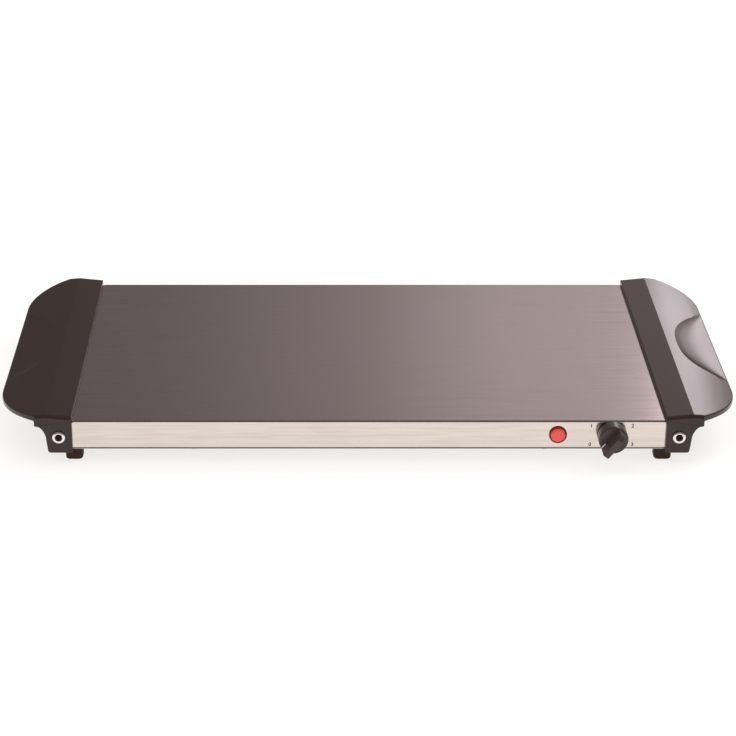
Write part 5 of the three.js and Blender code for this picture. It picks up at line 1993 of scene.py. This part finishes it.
@dataclass
class Studio:
    """Floor, pale room, curved cards with a grey flag above them, one lamp and the camera."""

    floor_size: float = 14.0
    camera_place: Point3 = (-47.07, -1899.4, 851.92)
    pitch: float = 23.55
    focal_pixels: float = 2268.0
    frame_pixels: float = 736.0
    shift_pixels: float = 54.3
    sensor: float = 36.0
    wall_radius: float = 2.4
    wall_height: float = 2.9
    # Brightness of the cards round the tray, by compass angle in degrees: 0 is straight behind it,
    # and positive is to the right. Grey flags stand all round but for a softbox behind right.
    cards: tuple[tuple[float, float], ...] = (
        (-180.0, 0.14),
        (-15.0, 0.14),
        (-8.0, 0.18),
        (1.0, 0.3),
        (8.0, 0.52),
        (15.2, 0.58),
        (17.0, 1.3),
        (19.5, 4.6),
        (23.0, 4.7),
        (25.6, 1.3),
        (36.0, 0.7),
        (70.0, 0.5),
        (110.0, 0.14),
        (180.0, 0.14),
    )
    # Heights in metres between which the softbox comes up, and between which it fades out.
    glow_foot: Point2 = (0.5, 0.78)
    glow_head: Point2 = (1.25, 1.75)
    shade: float = 0.12
    wall_foot: float = 0.005
    wall_steps: int = 72
    card_tint: Point3 = (1.0, 0.9, 0.95)
    flag_tint: Point3 = (1.0, 0.97, 0.96)
    paper: Point3 = (0.8, 0.79, 0.77)
    shadow_paper: float = 0.3
    backdrop_tint: Point3 = (1.0, 0.985, 0.96)
    backdrop_level: float = 0.75
    room_level: float = 1.0
    lamp_place: Point3 = (1.35, 0.9, 1.75)
    lamp_aim: Point3 = (0.1, 0.0, 0.03)
    lamp_size: Point2 = (0.9, 0.6)
    lamp_watts: float = 14.0

    def seen(self, tree: bpy.types.NodeTree) -> bpy.types.NodeSocket:
        """Add the test for what the camera sees, straight or in gloss or glass.

        Args:
            tree: a shader tree.

        Returns:
            A socket that is 1 for those rays and 0 for the rest.
        """
        path = add_node(tree, "ShaderNodeLightPath").outputs
        first = reckon(tree, "MAXIMUM", path["Is Camera Ray"], path["Is Glossy Ray"])
        return reckon(tree, "MAXIMUM", first, path["Is Transmission Ray"])

    def add_floor(self) -> None:
        """Lay the pale floor, which shows white and keeps the tray's shadow."""
        form = bmesh.new()
        bmesh.ops.create_grid(form, x_segments=1, y_segments=1, size=self.floor_size / MM / 2)
        floor = to_object("studio_floor", form)
        material = blank_material("pale studio floor")
        tree = material.node_tree
        paper = add_node(tree, "ShaderNodeBsdfDiffuse", sockets={"Color": (*self.paper, 1)})
        grey = (self.shadow_paper,) * 3
        shade = add_node(tree, "ShaderNodeBsdfDiffuse", sockets={"Color": (*grey, 1)})
        sockets = {"Color": (*self.backdrop_tint, 1), "Strength": self.backdrop_level}
        white = add_node(tree, "ShaderNodeEmission", sockets=sockets)
        lit = add_node(tree, "ShaderNodeAddShader", sockets={0: shade.outputs[0], 1: white.outputs[0]})
        sockets = {0: self.seen(tree), 1: paper.outputs[0], 2: lit.outputs[0]}
        mix = add_node(tree, "ShaderNodeMixShader", sockets=sockets)
        add_node(tree, "ShaderNodeOutputMaterial", sockets={"Surface": mix.outputs[0]})
        floor.data.materials.append(material)

    def add_world(self) -> None:
        """Make the room pale and even all round."""
        world = bpy.data.worlds.new("studio")
        bpy.context.scene.world = world
        world.use_nodes = True
        tree = world.node_tree
        tree.nodes.clear()
        sockets = {"Color": (1, 1, 1, 1), "Strength": self.room_level}
        glow = add_node(tree, "ShaderNodeBackground", sockets=sockets)
        add_node(tree, "ShaderNodeOutputWorld", sockets={"Surface": glow.outputs[0]})

    def card_material(self) -> bpy.types.Material:
        """Make the cards' glow: grey flags that run into the softbox.

        Returns:
            A material whose glow follows the compass angle and the height.
        """
        material = blank_material("studio cards")
        tree = material.node_tree
        place = add_node(tree, "ShaderNodeTexCoord").outputs["Object"]
        parts = add_node(tree, "ShaderNodeSeparateXYZ", sockets={0: place}).outputs
        first, last = self.cards[0][0], self.cards[-1][0]
        sockets = {
            "Value": reckon(tree, "ARCTAN2", parts["X"], parts["Y"]),
            "From Min": math.radians(first),
            "From Max": math.radians(last),
        }
        share = add_node(tree, "ShaderNodeMapRange", sockets=sockets)
        ramp = add_node(tree, "ShaderNodeValToRGB", sockets={"Fac": share.outputs[0]})
        strongest = max(level for _, level in self.cards)
        stops = ramp.color_ramp.elements
        for i, (degrees, level) in enumerate(self.cards):
            spot = (degrees - first) / (last - first)
            stop = stops[i] if i < 2 else stops.new(spot)
            stop.position = spot
            tone = level / strongest
            stop.color = (tone, tone, tone, 1)
        edges = []
        for (low, high), ends in ((self.glow_foot, (0.0, 1.0)), (self.glow_head, (1.0, 0.0))):
            sockets = {
                "Value": parts["Z"],
                "From Min": low,
                "From Max": high,
                "To Min": ends[0],
                "To Max": ends[1],
            }
            edge = add_node(tree, "ShaderNodeMapRange", {"interpolation_type": "SMOOTHSTEP"}, sockets)
            edges.append(edge.outputs[0])
        climb = reckon(tree, "MULTIPLY", *edges)
        bright = reckon(tree, "MULTIPLY", ramp.outputs["Color"], strongest)
        level = add_node(
            tree, "ShaderNodeMix", {"data_type": "FLOAT"}, {0: climb, 2: self.shade, 3: bright}
        )
        self.add_glow(tree, self.card_tint, level.outputs[0])
        return material

    def add_glow(self, tree: bpy.types.NodeTree, tint: Point3, strength: Any) -> None:
        """End a tree with a plain glow.

        Args:
            tree: a material's node tree.
            tint: the glow's linear colour.
            strength: its level, or the socket that gives it.
        """
        glow = add_node(tree, "ShaderNodeEmission", sockets={"Color": (*tint, 1), "Strength": strength})
        add_node(tree, "ShaderNodeOutputMaterial", sockets={"Surface": glow.outputs[0]})

    def add_cards(self) -> None:
        """Stand the curved cards behind the tray and hang a grey flag above it."""
        form = bmesh.new()
        first, last = self.cards[0][0], self.cards[-1][0]
        radius = self.wall_radius / MM
        levels = (self.wall_foot / MM, self.wall_height / MM)
        rows = []
        for i in range(self.wall_steps + 1):
            angle = math.radians(first + (last - first) * i / self.wall_steps)
            x, y = radius * math.sin(angle), radius * math.cos(angle)
            rows.append([form.verts.new((x, y, z)) for z in levels])
        for here, after in zip(rows, rows[1:]):
            form.faces.new((here[0], after[0], after[1], here[1]))
        wall = to_object("studio_cards", form)
        wall.data.materials.append(self.card_material())
        form = bmesh.new()
        bmesh.ops.create_grid(form, x_segments=1, y_segments=1, size=radius)
        bmesh.ops.translate(form, verts=form.verts, vec=(0, 0, self.wall_height / MM))
        flag = to_object("studio_flag", form)
        grey = blank_material("grey flag")
        self.add_glow(grey.node_tree, self.flag_tint, self.shade)
        flag.data.materials.append(grey)
        for card in (wall, flag):
            card.visible_camera = False
            card.visible_diffuse = False
            card.visible_transmission = False
            card.visible_shadow = False

    def add_lamp(self) -> None:
        """Hang one soft lamp behind right of the tray."""
        data = bpy.data.lights.new("key softbox", "AREA")
        data.shape = "RECTANGLE"
        data.size, data.size_y = self.lamp_size
        data.energy = self.lamp_watts
        lamp = bpy.data.objects.new("key softbox", data)
        lamp.location = self.lamp_place
        way = Vector(self.lamp_aim) - Vector(self.lamp_place)
        lamp.rotation_euler = way.to_track_quat("-Z", "Y").to_euler()
        lamp.visible_camera = False
        bpy.context.scene.collection.objects.link(lamp)

    def add_camera(self) -> None:
        """Set the camera at the photograph's viewing angle."""
        data = bpy.data.cameras.new("camera")
        data.sensor_width = self.sensor
        data.lens = self.focal_pixels / self.frame_pixels * self.sensor
        data.shift_x = self.shift_pixels / self.frame_pixels
        camera = bpy.data.objects.new("camera", data)
        camera.location = tuple(c * MM for c in self.camera_place)
        camera.rotation_euler = (math.radians(90 - self.pitch), 0, 0)
        bpy.context.scene.collection.objects.link(camera)
        bpy.context.scene.camera = camera

    def build(self) -> None:
        """Set up the whole studio."""
        bpy.context.scene.view_settings.view_transform = "Standard"
        self.add_camera()
        self.add_floor()
        self.add_world()
        self.add_cards()
        self.add_lamp()


def plain(corners: Sequence[Vector]) -> list[list[float]]:
    """Turn two corners to plain lists of numbers."""
    return [[float(c) for c in corner] for corner in corners]


def main() -> None:
    """Build every sub-assembly on the frame."""
    logging.basicConfig(level=logging.INFO, format="%(message)s")
    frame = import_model()
    Studio().build()
    places = Places.from_frame()
    kinds = Finishes()
    materials = {name: getattr(kinds, name).build() for name in kinds.__dataclass_fields__}
    trees = {"corners": Pattern.corners(), "row": Pattern.row(), "fold": Pattern.fold()}
    shared = (places, materials, trees)
    Cover(*shared).build()
    handles = Handles(*shared)
    handles.build("right")
    handles.build("left")
    HandleScrews(*shared).build()
    Feet(*shared).build()
    BasePlate(*shared).build(frame["nodes"])
    Knob(*shared).build()
    Lamp(*shared).build(frame["nodes"])
    CordBush(*shared).build()
    Works(*shared).build(frame["nodes"])


if __name__ == "__main__":
    main()
